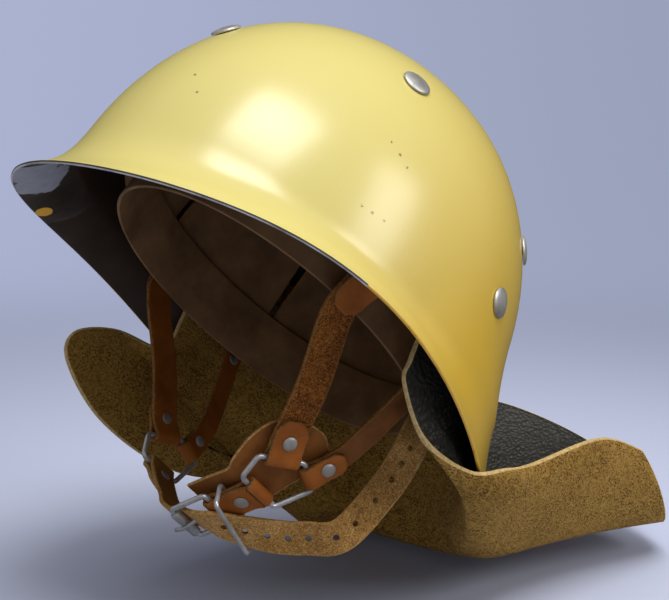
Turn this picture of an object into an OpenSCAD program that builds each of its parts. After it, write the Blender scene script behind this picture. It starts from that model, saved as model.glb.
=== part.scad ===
/* [Shell] */
// Reach of the dome ahead of the base centre
dome_front = 130; // [122:1:138]
// Reach of the dome behind the base centre
dome_rear = 117; // [110:1:124]
// Half width of the dome
dome_side = 102; // [98:1:108]
// Height of the dome above the base plane
dome_height = 137; // [130:1:144]
// Squareness of the dome's profile, 2 is an ellipse
dome_power = 2.1; // [2:0.05:2.2]
// Reach of the visor's edge ahead of the base centre
rim_front = 145; // [140:1:152]
// Reach of the nape's edge behind the base centre
rim_rear = 151; // [144:1:158]
// Half width of the rim over the ears
rim_side = 116; // [112:1:122]
// Drop of the rim at the front
drop_front = 43; // [36:1:50]
// Drop of the rim at the temples
drop_temple = 24; // [20:1:28]
// Drop of the rim over the ears
drop_ear = 22; // [18:1:26]
// Drop of the rim behind the ears
drop_neck = 35; // [31:1:39]
// Drop of the rim at the rear
drop_rear = 38; // [34:1:44]
// How late the wall turns out to the rim
flare_power = 2.2; // [2:0.1:2.6]
// How late the visor turns out, at the front
visor_power = 3; // [2.2:0.1:3.6]
// How late the nape turns out, at the rear
nape_power = 1; // [1:0.1:1.6]
// Lean of the nape's wall out at the base plane
nape_out = 12; // [6:1:14]
// Thickness of the shell's sheet metal
shell_wall = 1.6; // [1.2:0.1:2]

/* [Rivets] */
// Diameter of the big rivet heads
head_d = 15; // [12:0.5:17]
// Height of the big rivet heads
head_h = 2.2; // [1.6:0.1:2.8]
// Diameter of the big rivets' shanks
shank_d = 4; // [3:0.5:5]
// Height of the front crown rivet
crown_z_front = 73; // [68:1:80]
// Height of the temple crown rivets
crown_z_temple = 93; // [88:1:98]
// Height of the rear crown rivets
crown_z_rear = 82; // [76:1:88]
// Height of the side rivets
side_rivet_z = 35; // [32:1:40]
// Diameter of the harness rivet heads
small_head_d = 7; // [6:0.5:8]

/* [Liner] */
// Half width of the liner hoop
hoop_side = 79; // [75:1:82]
// Half length of the liner hoop
hoop_long = 100; // [96:1:104]
// Height of the liner hoop
hoop_h = 22; // [18:1:26]
// Thickness of the liner hoop
hoop_t = 1.2; // [0.8:0.1:1.6]
// Width of the crown straps
riser_w = 16; // [12:1:20]
// Height of the lace at the top of the liner
crown_z = 104; // [98:1:108]
// Height of the sweatband
band_h = 31; // [26:1:33]
// Thickness of the sweatband's leather
band_t = 1.8; // [1.2:0.1:2.2]

/* [Harness] */
// Width of the front and chin straps
strap_w = 16.4; // [14:0.2:17]
// Width of the rear straps
rear_w = 11.5; // [9:0.5:12.5]
// Thickness of the strap leather
strap_t = 2.2; // [1.6:0.1:2.6]
// Thickness of the chin pad
pad_t = 1.6; // [1.2:0.1:2]
// Thickness of the wire of rings, loops and buckle
wire_d = 2.6; // [2.2:0.1:3]
// Outer diameter of the buckle's roller
roller_d = 4.8; // [4.4:0.1:5.4]
// Length of the buckle
buckle_l = 20.5; // [19:0.5:23]
// Lean of the side harness in from upright
harness_lean = 24.5; // [22:0.5:27]
// Lean of the chin tab and buckle in from upright
chin_lean = 57.4; // [55:0.5:60]
// Drop from the wire loops to the harness ring's foot
harness_drop = 101; // [96:1:106]
// Diameter of the punched holes
hole_d = 2.8; // [2:0.1:3.4]
// Running clearance round wires in leather
play = 0.35; // [0.3:0.05:0.5]

/* [Neck guard] */
// Thickness of the neck guard's leather
guard_t = 3; // [2.4:0.1:3.6]
// Height of the neck guard's top edge
guard_top = 46; // [42:1:52]

/* [Hidden] */

hair = 0.05;
gap = 0.3;
wire_r = wire_d / 2;
hoop_y = -3;
hoop_z = 2;

// Shell geometry: angle 0 is the front, 90 the left side
mean_ends = -(drop_front + drop_rear) / 2;
h2 = (mean_ends + drop_ear) / 2;
h04 = (mean_ends - drop_ear) / 2;
h0 = (h04 - drop_temple - drop_neck + h2) / 3;
h4 = h04 - h0;
half_diff = (drop_rear - drop_front) / 2;
h3 = (half_diff - (drop_neck - drop_temple)) / 3;
h1 = half_diff - h3;
function rim_z(a) = h0 + h1 * cos(a) + h2 * cos(2 * a) + h3 * cos(3 * a) + h4 * cos(4 * a);
// The reaches are given for hoops up to the drawn half length and grow with a longer one
hoop_drawn = 100;
reach = max(0, hoop_long - hoop_drawn);
function dome_y(a) = (cos(a) > 0 ? dome_front : dome_rear) + reach;
function rim_y(a) = (cos(a) > 0 ? rim_front : rim_rear) + reach;
function dome_r(z) = pow(1 - pow(z / dome_height, dome_power), 1 / dome_power);
function rim_pt(a) = [rim_side * sin(a), -rim_y(a) * cos(a), rim_z(a)];
function flare(a) = flare_power + (visor_power - flare_power) * pow(max(0, cos(a)), 2)
    + (nape_power - flare_power) * max(0, -cos(a));
lean_from = 0.82;
function lean(a, s) =
    nape_out * max(0, -cos(a)) * pow(max(0, (min(s, 1) - lean_from) / (1 - lean_from)), 2);

// Outer surface: s from 0 at the crown to 1 at the base plane and 2 at the rim
function skin(a, s) =
    s <= 1
    ? let (r = pow(cos(90 * (1 - s)), 2 / dome_power), z = pow(sin(90 * (1 - s)), 2 / dome_power))
      [(dome_side * r + lean(a, s)) * sin(a), -(dome_y(a) * r + lean(a, s)) * cos(a), dome_height * z]
    : let (v = s - 1, w = pow(v, flare(a)), n = lean(a, 1))
      [(dome_side + n + (rim_side - dome_side - n) * w) * sin(a),
       -(dome_y(a) + n + (rim_y(a) - dome_y(a) - n) * w) * cos(a), rim_z(a) * v];
function unit(v) = v / norm(v);
function normal_at(a, s) =
    let (da = skin(a + 0.5, s) - skin(a - 0.5, s), s1 = min(2, s + 0.01), s0 = max(0.02, s - 0.01),
         ds = skin(a, s1) - skin(a, s0))
    unit(cross(ds, da));
function inset(a, s, d) = skin(a, s) - d * normal_at(a, s);

// Parameter s on the dome at a given height, and a point there
function dome_s(z) = 1 - asin(pow(z / dome_height, dome_power / 2)) / 90;
function on_dome(a, z, d) = inset(a, dome_s(z), d);
module at_dome(a, z) {
    n = normal_at(a, dome_s(z));
    translate(on_dome(a, z, 0)) rotate([0, acos(n.z), atan2(n.y, n.x)]) children();
}

// Sheets: a grid of centre points thickened along its normals
function grid_normal(g, i, j) =
    let (n = len(g) - 1, m = len(g[0]) - 1,
         u = g[min(n, i + 1)][j] - g[max(0, i - 1)][j],
         v = g[i][min(m, j + 1)] - g[i][max(0, j - 1)])
    unit(cross(u, v));
module sheet(g, t) {
    n = len(g);
    m = len(g[0]);
    upper = [for (i = [0:n - 1]) for (j = [0:m - 1]) g[i][j] + t / 2 * grid_normal(g, i, j)];
    lower = [for (i = [0:n - 1]) for (j = [0:m - 1]) g[i][j] - t / 2 * grid_normal(g, i, j)];
    k = n * m;
    edge = concat([for (j = [0:m - 2]) j], [for (i = [0:n - 2]) i * m + m - 1],
        [for (j = [m - 1:-1:1]) (n - 1) * m + j], [for (i = [n - 1:-1:1]) i * m]);
    faces = concat(
        [for (i = [0:n - 2]) for (j = [0:m - 2]) let (a = i * m + j)
            each [[a, a + m + 1, a + m], [a, a + 1, a + m + 1]]],
        [for (i = [0:n - 2]) for (j = [0:m - 2]) let (a = k + i * m + j)
            each [[a, a + m, a + m + 1], [a, a + m + 1, a + 1]]],
        [for (e = [0:len(edge) - 1]) let (a = edge[e], b = edge[(e + 1) % len(edge)])
            each [[a, k + b, b], [a, k + a, k + b]]]);
    polyhedron(points = concat(upper, lower), faces = faces, convexity = 10);
}

// Smooth curve through hand-set points
function bend(p, t) =
    let (n = len(p) - 1, i = min(n - 1, floor(t)), f = t - i,
         a = p[max(0, i - 1)], b = p[i], c = p[i + 1], d = p[min(n, i + 2)])
    0.5 * (2 * b + (c - a) * f + (2 * a - 5 * b + 4 * c - d) * f * f + (3 * b - a - 3 * c + d) * f * f * f);

// A flat strap swept along points p with its width along vectors w
module strap_sweep(p, w, width, t, steps) {
    n = len(p) - 1;
    count = n * steps;
    c = [for (i = [0:count]) bend(p, i / steps)];
    side = [for (i = [0:count]) bend(w, i / steps)];
    g = [for (i = [0:count])
        let (tan = unit(c[min(count, i + 1)] - c[max(0, i - 1)]), s = unit(side[i] - tan * (side[i] * tan)))
        [c[i] - s * width / 2, c[i], c[i] + s * width / 2]];
    sheet(g, t);
}

// Holes for the big rivets' shanks and the small rivets' pins, along Z
module shank_hole(z, h) {
    translate([0, 0, z]) cylinder(d = shank_d + 0.2, h = h, $fn = 32);
}
module pin_hole(z, h) {
    translate([0, 0, z]) rotate([0, 0, 7]) cylinder(r = pin_r + 0.05, h = h, $fn = 24);
}

// Big rivets
module dome_head(d, h, z) {
    steps = 8;
    r = d / 2;
    rotate_extrude($fn = 40) polygon(concat([[0, z], [r, z]],
        [for (i = [0:steps]) let (a = 90 * i / steps) [r * cos(a * 0.999), z + 0.5 + (h - 0.5) * sin(a)]]));
}
module big_rivet(grip) {
    dome_head(head_d, head_h, 0.4);
    translate([0, 0, -grip - 0.2]) cylinder(d = shank_d, h = grip + 0.6, $fn = 32);
    translate([0, 0, -grip - 1.3])
        cylinder(r1 = shank_d / 2 + 0.9, r2 = shank_d / 2 + 1.6, h = 1.3, $fn = 32);
}
crown_a = [0, 61, 128, 180, 232, 299];
crown_h = [crown_z_front, crown_z_temple, crown_z_rear, crown_z_rear, crown_z_rear, crown_z_temple];
guard_a = [112, 180, 248];
riser_t = 1.6;
washer_t = 1;
riser_at = shell_wall + 0.9;
crown_grip = riser_at + riser_t + 0.6 + washer_t + 0.05;
hide_at = shell_wall + 0.5;
hanger_t = 1.6;
hanger_at = hide_at + guard_t + 0.9;
guard_grip = hanger_at + hanger_t + 0.3 + washer_t + 0.05;

module crown_rivets() {
    color([0.72, 0.72, 0.7]) for (i = [0:5]) at_dome(crown_a[i], crown_h[i]) big_rivet(crown_grip);
}
module guard_rivets() {
    color([0.72, 0.72, 0.7]) for (a = guard_a) at_dome(a, side_rivet_z) big_rivet(guard_grip);
}
module washer(r, at) {
    translate([0, 0, -at - washer_t]) difference() {
        cylinder(r = r, h = washer_t, $fn = 40);
        translate([0, 0, -1]) cylinder(d = shank_d + 0.1, h = washer_t + 2, $fn = 32);
    }
}
module crown_washers() {
    color([0.6, 0.6, 0.6]) for (i = [0:5])
        at_dome(crown_a[i], crown_h[i]) washer(6, crown_grip - washer_t - 0.03);
}
module guard_washers() {
    color([0.6, 0.6, 0.6]) for (a = guard_a)
        at_dome(a, side_rivet_z) washer(5.5, guard_grip - washer_t - 0.03);
}

// Shell
shell_a = 60;
shell_rows = [for (i = [1:9]) i < 9 ? 1.06 * sin(62 * i / 8) : 1, for (i = [1:6]) 1 + pow(i / 6, 0.8)];
module shell() {
    rows = len(shell_rows);
    outer = [for (s = shell_rows) for (i = [0:shell_a - 1]) skin(360 * i / shell_a, s)];
    inner = [for (s = shell_rows) for (i = [0:shell_a - 1]) inset(360 * i / shell_a, s, shell_wall)];
    k = rows * shell_a;
    pts = concat(outer, inner, [[0, 0, dome_height], [0, 0, dome_height - shell_wall]]);
    function at(r, i) = r * shell_a + i % shell_a;
    faces = concat(
        [for (i = [0:shell_a - 1]) [2 * k, at(0, i + 1), at(0, i)]],
        [for (i = [0:shell_a - 1]) [2 * k + 1, k + at(0, i), k + at(0, i + 1)]],
        [for (r = [0:rows - 2]) for (i = [0:shell_a - 1])
            each [[at(r, i), at(r + 1, i + 1), at(r + 1, i)], [at(r, i), at(r, i + 1), at(r + 1, i + 1)]]],
        [for (r = [0:rows - 2]) for (i = [0:shell_a - 1])
            each [[k + at(r, i), k + at(r + 1, i), k + at(r + 1, i + 1)],
                [k + at(r, i), k + at(r + 1, i + 1), k + at(r, i + 1)]]],
        [for (i = [0:shell_a - 1]) let (a = at(rows - 1, i), b = at(rows - 1, i + 1))
            each [[a, k + b, k + a], [a, b, k + b]]]);
    color([0.86, 0.7, 0.35]) difference() {
        polyhedron(points = pts, faces = faces, convexity = 10);
        for (i = [0:5]) at_dome(crown_a[i], crown_h[i]) shank_hole(-6, 12);
        for (a = guard_a) at_dome(a, side_rivet_z) shank_hole(-6, 12);
    }
}

// Liner
function hoop_pt(a, d) = [(hoop_side + d) * sin(a), hoop_y - (hoop_long + d) * cos(a)];
module hoop_ring(d, t, h, z) {
    translate([0, 0, z]) linear_extrude(h) difference() {
        polygon([for (i = [0:71]) hoop_pt(5 * i, d + t)]);
        polygon([for (i = [0:71]) hoop_pt(5 * i, d)]);
    }
}
// Hoop angle whose direction from the centre line is that of a shell angle
function riser_dir(i) =
    let (p = on_dome(crown_a[i], crown_h[i], riser_at + riser_t / 2)) atan2(p.x, -(p.y - hoop_y));
function hoop_at(d, dir) =
    let (r = 1 / norm([sin(dir) / (hoop_side + d), cos(dir) / (hoop_long + d)]))
    [r * sin(dir), hoop_y - r * cos(dir)];
function hoop_normal(dir) =
    let (p = hoop_at(hoop_t, dir)) unit([p.x / pow(hoop_side, 2), (p.y - hoop_y) / pow(hoop_long, 2), 0]);
module at_hoop(dir, z) {
    p = hoop_at(hoop_t, dir);
    n = hoop_normal(dir);
    translate([p.x, p.y, z]) rotate([0, 0, atan2(n.y, n.x)]) rotate([0, 90, 0]) children();
}
pin_r = 1.4;
riser_pin = hoop_z + 10;
module liner_hoop() {
    color([0.5, 0.5, 0.5]) difference() {
        hoop_ring(0, hoop_t, hoop_h, hoop_z);
        for (i = [0:5]) at_hoop(riser_dir(i), riser_pin) pin_hole(-5, 10);
        for (s = [-1, 1]) at_hoop(s * hanger_dir, hanger_z) pin_hole(-5, 10);
    }
}
// Crown straps: flat on the hoop, up to the rivet, and flat under the shell
module crown_straps() {
    color([0.45, 0.3, 0.18]) for (i = [0:5]) difference() {
        riser(i);
        at_dome(crown_a[i], crown_h[i]) shank_hole(-9, 9);
        at_hoop(riser_dir(i), riser_pin) pin_hole(-5, 10);
    }
}
module riser(i) {
    a = crown_a[i];
    z = crown_h[i];
    n = normal_at(a, dome_s(z));
    p = on_dome(a, z, riser_at + riser_t / 2);
    side = unit(cross([0, 0, 1], n));
    up = cross(n, side);
    h = hoop_at(hoop_t + riser_t / 2 + 0.15, riser_dir(i));
    hn = hoop_normal(riser_dir(i));
    hs = unit(cross([0, 0, 1], hn));
    rows = [[h.x, h.y, hoop_z + 4.6], [h.x, h.y, hoop_z + 12], [h.x, h.y, hoop_z + hoop_h] + 0.5 * hn,
        [h.x, h.y, hoop_z + hoop_h + 9] + 1.8 * hn, p - 24 * up - 5.5 * n, p - 11 * up - 1.1 * n, p,
        p + 10 * up - 0.8 * n];
    sides = [hs, hs, hs, hs, side, side, side, side];
    bow = [0, 0, 0, 0, 0.2, 0.35, 0.35, 0.35];
    g = [for (k = [0:21]) let (c = bend(rows, k / 3), s = unit(bend(sides, k / 3)), d = bend(bow, k / 3) * n)
        [c - s * riser_w / 2 - d, c, c + s * riser_w / 2 - d]];
    sheet(g, riser_t);
}
module hoop_rivets() {
    color([0.7, 0.7, 0.68]) for (i = [0:5])
        at_hoop(riser_dir(i), riser_pin) small_rivet(-hoop_t - 0.2, riser_t + 0.3);
}
// A small rivet with heads below z0 and above z1
module small_rivet(z0, z1) {
    translate([0, 0, z0 - 0.8]) cylinder(d = small_head_d - 1, h = 0.8, $fn = 32);
    translate([0, 0, z0 - 0.4]) cylinder(r = pin_r, h = z1 - z0 + 0.8, $fn = 24);
    dome_head(small_head_d, 1.3, z1);
}
// Leaves of the liner, from the hoop's top edge to the lace
leaf_t = 1.4;
leaf_in = 1.3;
band_in = leaf_in + leaf_t + 0.6 + band_t;
lace_r = 17;
function leaf_pt(a, v) =
    let (h = hoop_at(-leaf_in - leaf_t / 2, a), z0 = hoop_z + 8, rise = crown_z - z0,
         e = 90 * v, r = pow(cos(e), 0.85), q = lace_r + 3)
    [h.x * r + q * sin(a) * (1 - r), (h.y - hoop_y) * r - q * cos(a) * (1 - r) + hoop_y,
     z0 + rise * pow(sin(e), 0.95)];
// Half the angle that a leaf takes up, narrower to the tip
function leaf_half(v) = 28.5 - 8 * v * v - 9 * max(0, v - 0.7);
module liner_leaves() {
    color([0.5, 0.33, 0.2]) for (k = [0:5]) {
        mid = 30 + 60 * k;
        difference() {
            sheet([for (i = [-1:2 / 9:1.001]) [for (v = [0:1 / 9:1.001]) leaf_pt(mid + leaf_half(v) * i, v)]],
                leaf_t);
            for (s = [-1, 1]) lace_hole(mid + 9 * s);
        }
    }
}
module lace_hole(a) {
    translate([lace_at * sin(a), hoop_y - lace_at * cos(a), crown_z - 10])
        cylinder(r = 1.9, h = 20, $fn = 20);
}
lace_at = lace_r + 9;
// Height of the leaves' upper face at the lace
leaf_top = crown_z + 0.6;
// The lace weaves through the leaf tips, over each leaf and under each slit
module crown_lace() {
    n = 48;
    sides = 8;
    rad = 1.2;
    pts = [for (i = [0:n - 1]) for (j = [0:sides - 1])
        let (a = 360 * i / n, b = 360 * j / sides, r = lace_at + rad * cos(b))
        [r * sin(a), hoop_y - r * cos(a), leaf_top + rad + 0.25 + rad * sin(b)]];
    faces = [for (i = [0:n - 1]) for (j = [0:sides - 1])
        let (a = i * sides + j, b = i * sides + (j + 1) % sides,
             c = ((i + 1) % n) * sides + j, d = ((i + 1) % n) * sides + (j + 1) % sides)
        each [[a, b, d], [a, d, c]]];
    color([0.8, 0.75, 0.65]) polyhedron(points = pts, faces = faces, convexity = 6);
}
module sweatband() {
    color([0.62, 0.42, 0.25]) {
        hoop_ring(-band_in, band_t, band_h, hoop_z + 13 - band_h);
        hoop_ring(-band_in, band_in + hoop_t + 0.1 + band_t, band_t, hoop_z - band_t - 0.2);
        hoop_ring(hoop_t + 0.1, band_t, 5.5, hoop_z - band_t - 0.2);
    }
}

// Side harness: the left pieces are drawn at +X and mirrored for the right
hang_x = hoop_side + 6;
hang_z = -6;
front_y = -21.5;
rear_y = 38.5;
fold_r = wire_r + play + strap_t;
hanger_z = hoop_z + 12;
hanger_dir = atan2(hang_x, -(front_y - hoop_y));
// Frame of the side harness: x down, y to the rear, z outward
module in_side() {
    translate([hang_x, 0, hang_z]) rotate([0, 90 + harness_lean, 0]) children();
}
side_down = [-sin(harness_lean), 0, -cos(harness_lean)];
chin_o = [hang_x, 0, hang_z] + harness_drop * side_down;
chin_down = [-sin(chin_lean), 0, -cos(chin_lean)];
chin_out = [cos(chin_lean), 0, -sin(chin_lean)];
function chin_pt(p, y, n) = chin_o + p * chin_down + [0, y, 0] + n * chin_out;
// Frame of the chin tab and buckle: x towards the chin's middle, z outward
module in_chin() {
    translate(chin_o) rotate([0, 90 + chin_lean, 0]) children();
}
// Ring corners, in the side harness frame
ring_top = harness_drop - 24;
ring = [[harness_drop - 12.5, 5], [ring_top, 25], [ring_top + 5.5, 39], [harness_drop, 30.5],
    [harness_drop, 7]];
front_end = (ring[0] + ring[1]) / 2;
front_dir = let (d = ring[1] - ring[0]) unit([d.y, -d.x]);
front_ang = atan2(front_dir.y, front_dir.x);
rear_end = (ring[1] + ring[2]) / 2;
rear_dir = let (d = ring[2] - ring[1]) unit([d.y, -d.x]);
rear_ang = atan2(rear_dir.y, rear_dir.x);

// Closed wire through corner points in the XY plane, corners rounded at radius cr
module wire_loop(p, cr, r) {
    n = len(p);
    for (i = [0:n - 1]) {
        a = p[(i + n - 1) % n];
        b = p[i];
        c = p[(i + 1) % n];
        u = unit(a - b);
        v = unit(c - b);
        half = acos(u * v) / 2;
        cut = cr / tan(half);
        mid = b + unit(u + v) * cr / sin(half);
        turn = 180 - 2 * half;
        start = atan2((b + u * cut - mid).y, (b + u * cut - mid).x);
        way = u.x * v.y - u.y * v.x < 0 ? 1 : -1;
        translate([mid.x, mid.y, 0]) rotate([0, 0, way > 0 ? start : start - turn])
            rotate_extrude(angle = turn, $fn = 48) translate([cr, 0]) circle(r = r, $fn = 20);
        next_u = unit(b - c);
        next_v = unit(p[(i + 2) % n] - c);
        next_cut = cr / tan(acos(next_u * next_v) / 2);
        s = b + v * cut;
        e = c + next_u * next_cut;
        translate([s.x, s.y, 0]) rotate([0, 0, atan2((e - s).y, (e - s).x)]) rotate([0, 90, 0])
            cylinder(r = r, h = norm(e - s), $fn = 20);
    }
}
// Corner points of a closed outline rounded at radius cr, k steps a corner
function rounded(p, cr, k) = let (n = len(p)) [for (i = [0:n - 1]) each
    let (a = p[(i + n - 1) % n], b = p[i], c = p[(i + 1) % n], u = unit(a - b), v = unit(c - b),
         half = acos(u * v) / 2, cut = cr / tan(half), mid = b + unit(u + v) * cr / sin(half))
    [for (j = [0:k]) mid + cr * unit((b + u * cut - mid) * (1 - j / k) + (b + v * cut - mid) * (j / k))]];
// Round wire along planar points; up is the plane's normal
module tube(p, up, r, sides, closed) {
    n = len(p);
    last = closed ? n - 1 : n - 2;
    pts = [for (i = [0:n - 1]) let (
            a = closed ? p[(i + n - 1) % n] : p[max(0, i - 1)],
            c = closed ? p[(i + 1) % n] : p[min(n - 1, i + 1)],
            side = unit(cross(unit(c - a), up)))
        for (j = [0:sides - 1]) p[i] + r * (cos(360 * j / sides) * side + sin(360 * j / sides) * up)];
    walls = [for (i = [0:last]) for (j = [0:sides - 1])
        let (a = i * sides + j, b = i * sides + (j + 1) % sides,
             c = ((i + 1) % n) * sides + j, d = ((i + 1) % n) * sides + (j + 1) % sides)
        each [[a, b, d], [a, d, c]]];
    caps = closed ? [] : [[for (j = [sides - 1:-1:0]) j], [for (j = [0:sides - 1]) (n - 1) * sides + j]];
    polyhedron(points = pts, faces = concat(walls, caps), convexity = 6);
}
// Fold of leather round a wire at the origin: leaves run along +X, wire along Y
module fold(w, leaf) {
    rotate([90, 0, 0]) translate([0, 0, -w / 2]) linear_extrude(w) difference() {
        union() {
            circle(r = fold_r, $fn = 40);
            translate([0, hair - strap_t]) square([leaf, 2 * strap_t - 2 * hair]);
        }
        circle(r = wire_r + play, $fn = 32);
    }
}
module plate(p, z0, t) {
    translate([0, 0, z0]) linear_extrude(t) polygon(p);
}
tab_start = wire_r + play + 0.6;
// Outline of a tab with a round free end
module tab_outline(w, l) {
    translate([tab_start, -w / 2]) square([l - w / 2 + 2 - tab_start, w]);
    translate([l - w / 2 + 2, 0]) intersection() {
        circle(d = w, $fn = 40);
        translate([0, -w]) square([w / 2 - 2, 2 * w]);
    }
}
front_tab = 20;
rear_tab = 19;
knee = 14;
module front_strap() {
    color([0.5, 0.24, 0.12]) in_side() difference() {
        union() {
            // upper end, over the wire loop, with its tab outside
            translate([0, front_y, 0]) fold(strap_w, 5);
            translate([0, front_y, -0.1]) linear_extrude(strap_t + 0.1)
                tab_outline(strap_w - 2, front_tab - 2);
            // lower end, over the ring
            translate([front_end.x, front_end.y, 0]) rotate([0, 0, front_ang])
                mirror([1, 0, 0]) fold(strap_w, 5);
            translate([front_end.x, front_end.y, -0.1]) rotate([0, 0, front_ang]) mirror([1, 0, 0])
                linear_extrude(strap_t + 0.1) tab_outline(strap_w - 0.6, front_tab);
            plate(front_outline(strap_w / 2 - 0.15), -strap_t, strap_t);
        }
        translate([front_pin.x, front_pin.y, 0]) pin_hole(-10, 20);
    }
}
front_pin = front_end - 9 * front_dir;
function front_outline(h) =
    let (s = [-front_dir.y, front_dir.x], k = [knee, front_y], e = front_end - 4 * front_dir,
         m = unit(s + [0, 1]) / cos(front_ang / 2))
    [[tab_start, front_y - h], k - m * h, e - s * h, e + s * h, k + m * h, [tab_start, front_y + h]];
module rear_strap() {
    color([0.42, 0.24, 0.14]) in_side() difference() {
        union() {
            translate([0, rear_y, 0]) fold(rear_w, 5);
            translate([0, rear_y, -0.1]) linear_extrude(strap_t + 0.1)
                tab_outline(rear_w - 0.6, rear_tab - 2);
            translate([rear_end.x, rear_end.y, 0]) rotate([0, 0, rear_ang]) mirror([1, 0, 0]) fold(rear_w, 5);
            translate([rear_end.x, rear_end.y, -0.1]) rotate([0, 0, rear_ang]) mirror([1, 0, 0])
                linear_extrude(strap_t + 0.1) tab_outline(rear_w - 0.6, rear_tab);
            plate(rear_outline(rear_w / 2 - 0.15), -strap_t, strap_t);
        }
        for (q = [rear_pin, rear_top_pin]) translate([q.x, q.y, 0]) pin_hole(-10, 20);
    }
}
rear_pin = rear_end - 9 * rear_dir;
rear_top_pin = [11, rear_y];
function rear_outline(h) =
    let (s = [-rear_dir.y, rear_dir.x], e = rear_end - 4 * rear_dir, k = rear_end - 20 * rear_dir)
    [[tab_start, rear_y - h], k + [0, -h], e - s * h, e + s * h, k + [2, h], [tab_start, rear_y + h]];
module ring_wire() {
    color([0.7, 0.7, 0.7]) in_side()
        tube([for (q = rounded(ring, 2.6, 4)) [q.x, q.y, 0]], [0, 0, 1], wire_r, 12, true);
}
// Upright wire loops that the straps fold over
loop_h = 10;
module strap_loop(y, w) {
    h = w / 2 + 2;
    translate([hang_x, y, hang_z]) rotate([0, -90, 0])
        wire_loop([[0, -h], [loop_h, -h], [loop_h, h], [0, h]], 1.8, wire_r);
}
module loops() {
    color([0.66, 0.66, 0.66]) {
        strap_loop(front_y, strap_w);
        strap_loop(rear_y, rear_w);
    }
}
// Leather hangers: the front one to the hoop, the rear one to the side rivet
hang_w = 11;
bend_r = wire_r + play + hanger_t / 2;
// Path of a hide that comes down outside the loop's top bar, round under it and up again
function round_bar(o, s, end) = concat([for (a = [20:-40:-200]) o + bend_r * [s * cos(a), 0, sin(a)]],
    [for (e = end) o + [s * e.x, 0, e.y]]);
module hangers() {
    n = normal_at(guard_a[0], dome_s(side_rivet_z));
    top = on_dome(guard_a[0], side_rivet_z, hanger_at + hanger_t / 2);
    side = unit(cross([0, 0, 1], n));
    up = cross(n, side);
    base = [hang_x, rear_y, hang_z + loop_h];
    hp = hoop_at(hoop_t + hanger_t / 2 + 0.25, hanger_dir);
    hn = hoop_normal(hanger_dir);
    hs = unit(cross([0, 0, 1], hn));
    fb = [hang_x, front_y, hang_z + loop_h];
    y = [0, 1, 0];
    color([0.45, 0.28, 0.16]) {
        difference() {
            strap_sweep(concat([top + 8 * up, top, top - 9 * up, base + [1, 0, 8]],
                round_bar(base, 1, [[-1.6, 4], [-1, 7], [-1, 10]])),
                [side, side, side, for (k = [0:10]) y], hang_w, hanger_t, 3);
            translate(top) rotate([0, acos(n.z), atan2(n.y, n.x)]) shank_hole(-4.5, 9);
        }
        difference() {
            strap_sweep(concat([[hp.x, hp.y, hanger_z + 7], [hp.x, hp.y, hanger_z],
                [hp.x + 0.8, hp.y, hanger_z - 5]], round_bar(fb, -1, [[-1.8, 3.4], [-0.1, 6], [1.3, 8]])),
                [hs, hs, for (k = [0:10]) y], hang_w, hanger_t, 3);
            at_hoop(hanger_dir, hanger_z) pin_hole(-2, 12);
        }
    }
}
module left_hangers() { hangers(); }
module right_hangers() { mirror([1, 0, 0]) hangers(); }
module hanger_rivets() {
    color([0.7, 0.7, 0.68]) for (s = [-1, 1])
        at_hoop(s * hanger_dir, hanger_z) small_rivet(-hoop_t - 0.2, hanger_t + 0.9);
}
module left_loops() { loops(); }
module right_loops() { mirror([1, 0, 0]) loops(); }
module left_front_strap() { front_strap(); }
module right_front_strap() { mirror([1, 0, 0]) front_strap(); }
module left_rear_strap() { rear_strap(); }
module right_rear_strap() { mirror([1, 0, 0]) rear_strap(); }
module left_ring() { ring_wire(); }
module right_ring() { mirror([1, 0, 0]) ring_wire(); }
module side_rivets(pad) {
    color([0.75, 0.75, 0.73]) in_side() {
        translate([front_pin.x, front_pin.y, 0]) small_rivet(-strap_t - 0.05 - pad, strap_t + 0.05);
        translate([rear_pin.x, rear_pin.y, 0]) small_rivet(-strap_t - 0.05, strap_t + 0.05);
        translate([rear_top_pin.x, rear_top_pin.y, 0]) small_rivet(-strap_t - 0.05, strap_t + 0.05);
    }
}
pad_at = 2.4;
module strap_rivets() { side_rivets(pad_at + pad_t); }
module strap_rivets_right() { mirror([1, 0, 0]) side_rivets(0); }
// Chin pad: a curved piece under the ring, held by the front strap's lower rivet
module left_chin_pad() {
    out = fold_r + 0.4 + pad_t / 2;
    function side_at(q, y) = [hang_x, 0, hang_z] + q * side_down + [0, y, 0]
        - out * [cos(harness_lean), 0, -sin(harness_lean)];
    d = harness_drop;
    rows = [
        [side_at(d - 37, 11), side_at(d - 39, 24), side_at(d - 35, 33)],
        [side_at(d - 28, 1), side_at(d - 28, 18), side_at(d - 25, 34)],
        [side_at(d - 16, -2), side_at(d - 16, 16), side_at(d - 14, 31)],
        [side_at(d - 3, 0), side_at(d - 3, 15), side_at(d - 3, 28)],
        [chin_pt(6, 3.5, -out - 0.3), chin_pt(6, 14, -out - 0.3), chin_pt(6, 25, -out - 0.3)],
        [chin_pt(20, 4.5, -out - 2), chin_pt(20, 13, -out - 2), chin_pt(20, 22, -out - 2)],
        [chin_pt(33, 6, -out - 4), chin_pt(33, 12, -out - 4), chin_pt(33, 19, -out - 4)]];
    g = [for (i = [0:24]) [for (j = [0:2]) bend([for (r = rows) r[j]], i / 4)]];
    color([0.5, 0.32, 0.16]) difference() {
        sheet(g, pad_t);
        in_side() translate([front_pin.x, front_pin.y, 0]) pin_hole(-12, 20);
    }
}

// Chin tab, buckle and keeper
mid_y = 18.5;
tab_w = strap_w - 1;
bar_at = 23;
frame_w = strap_w + 4.8;
slot_w = 4.2;
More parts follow.
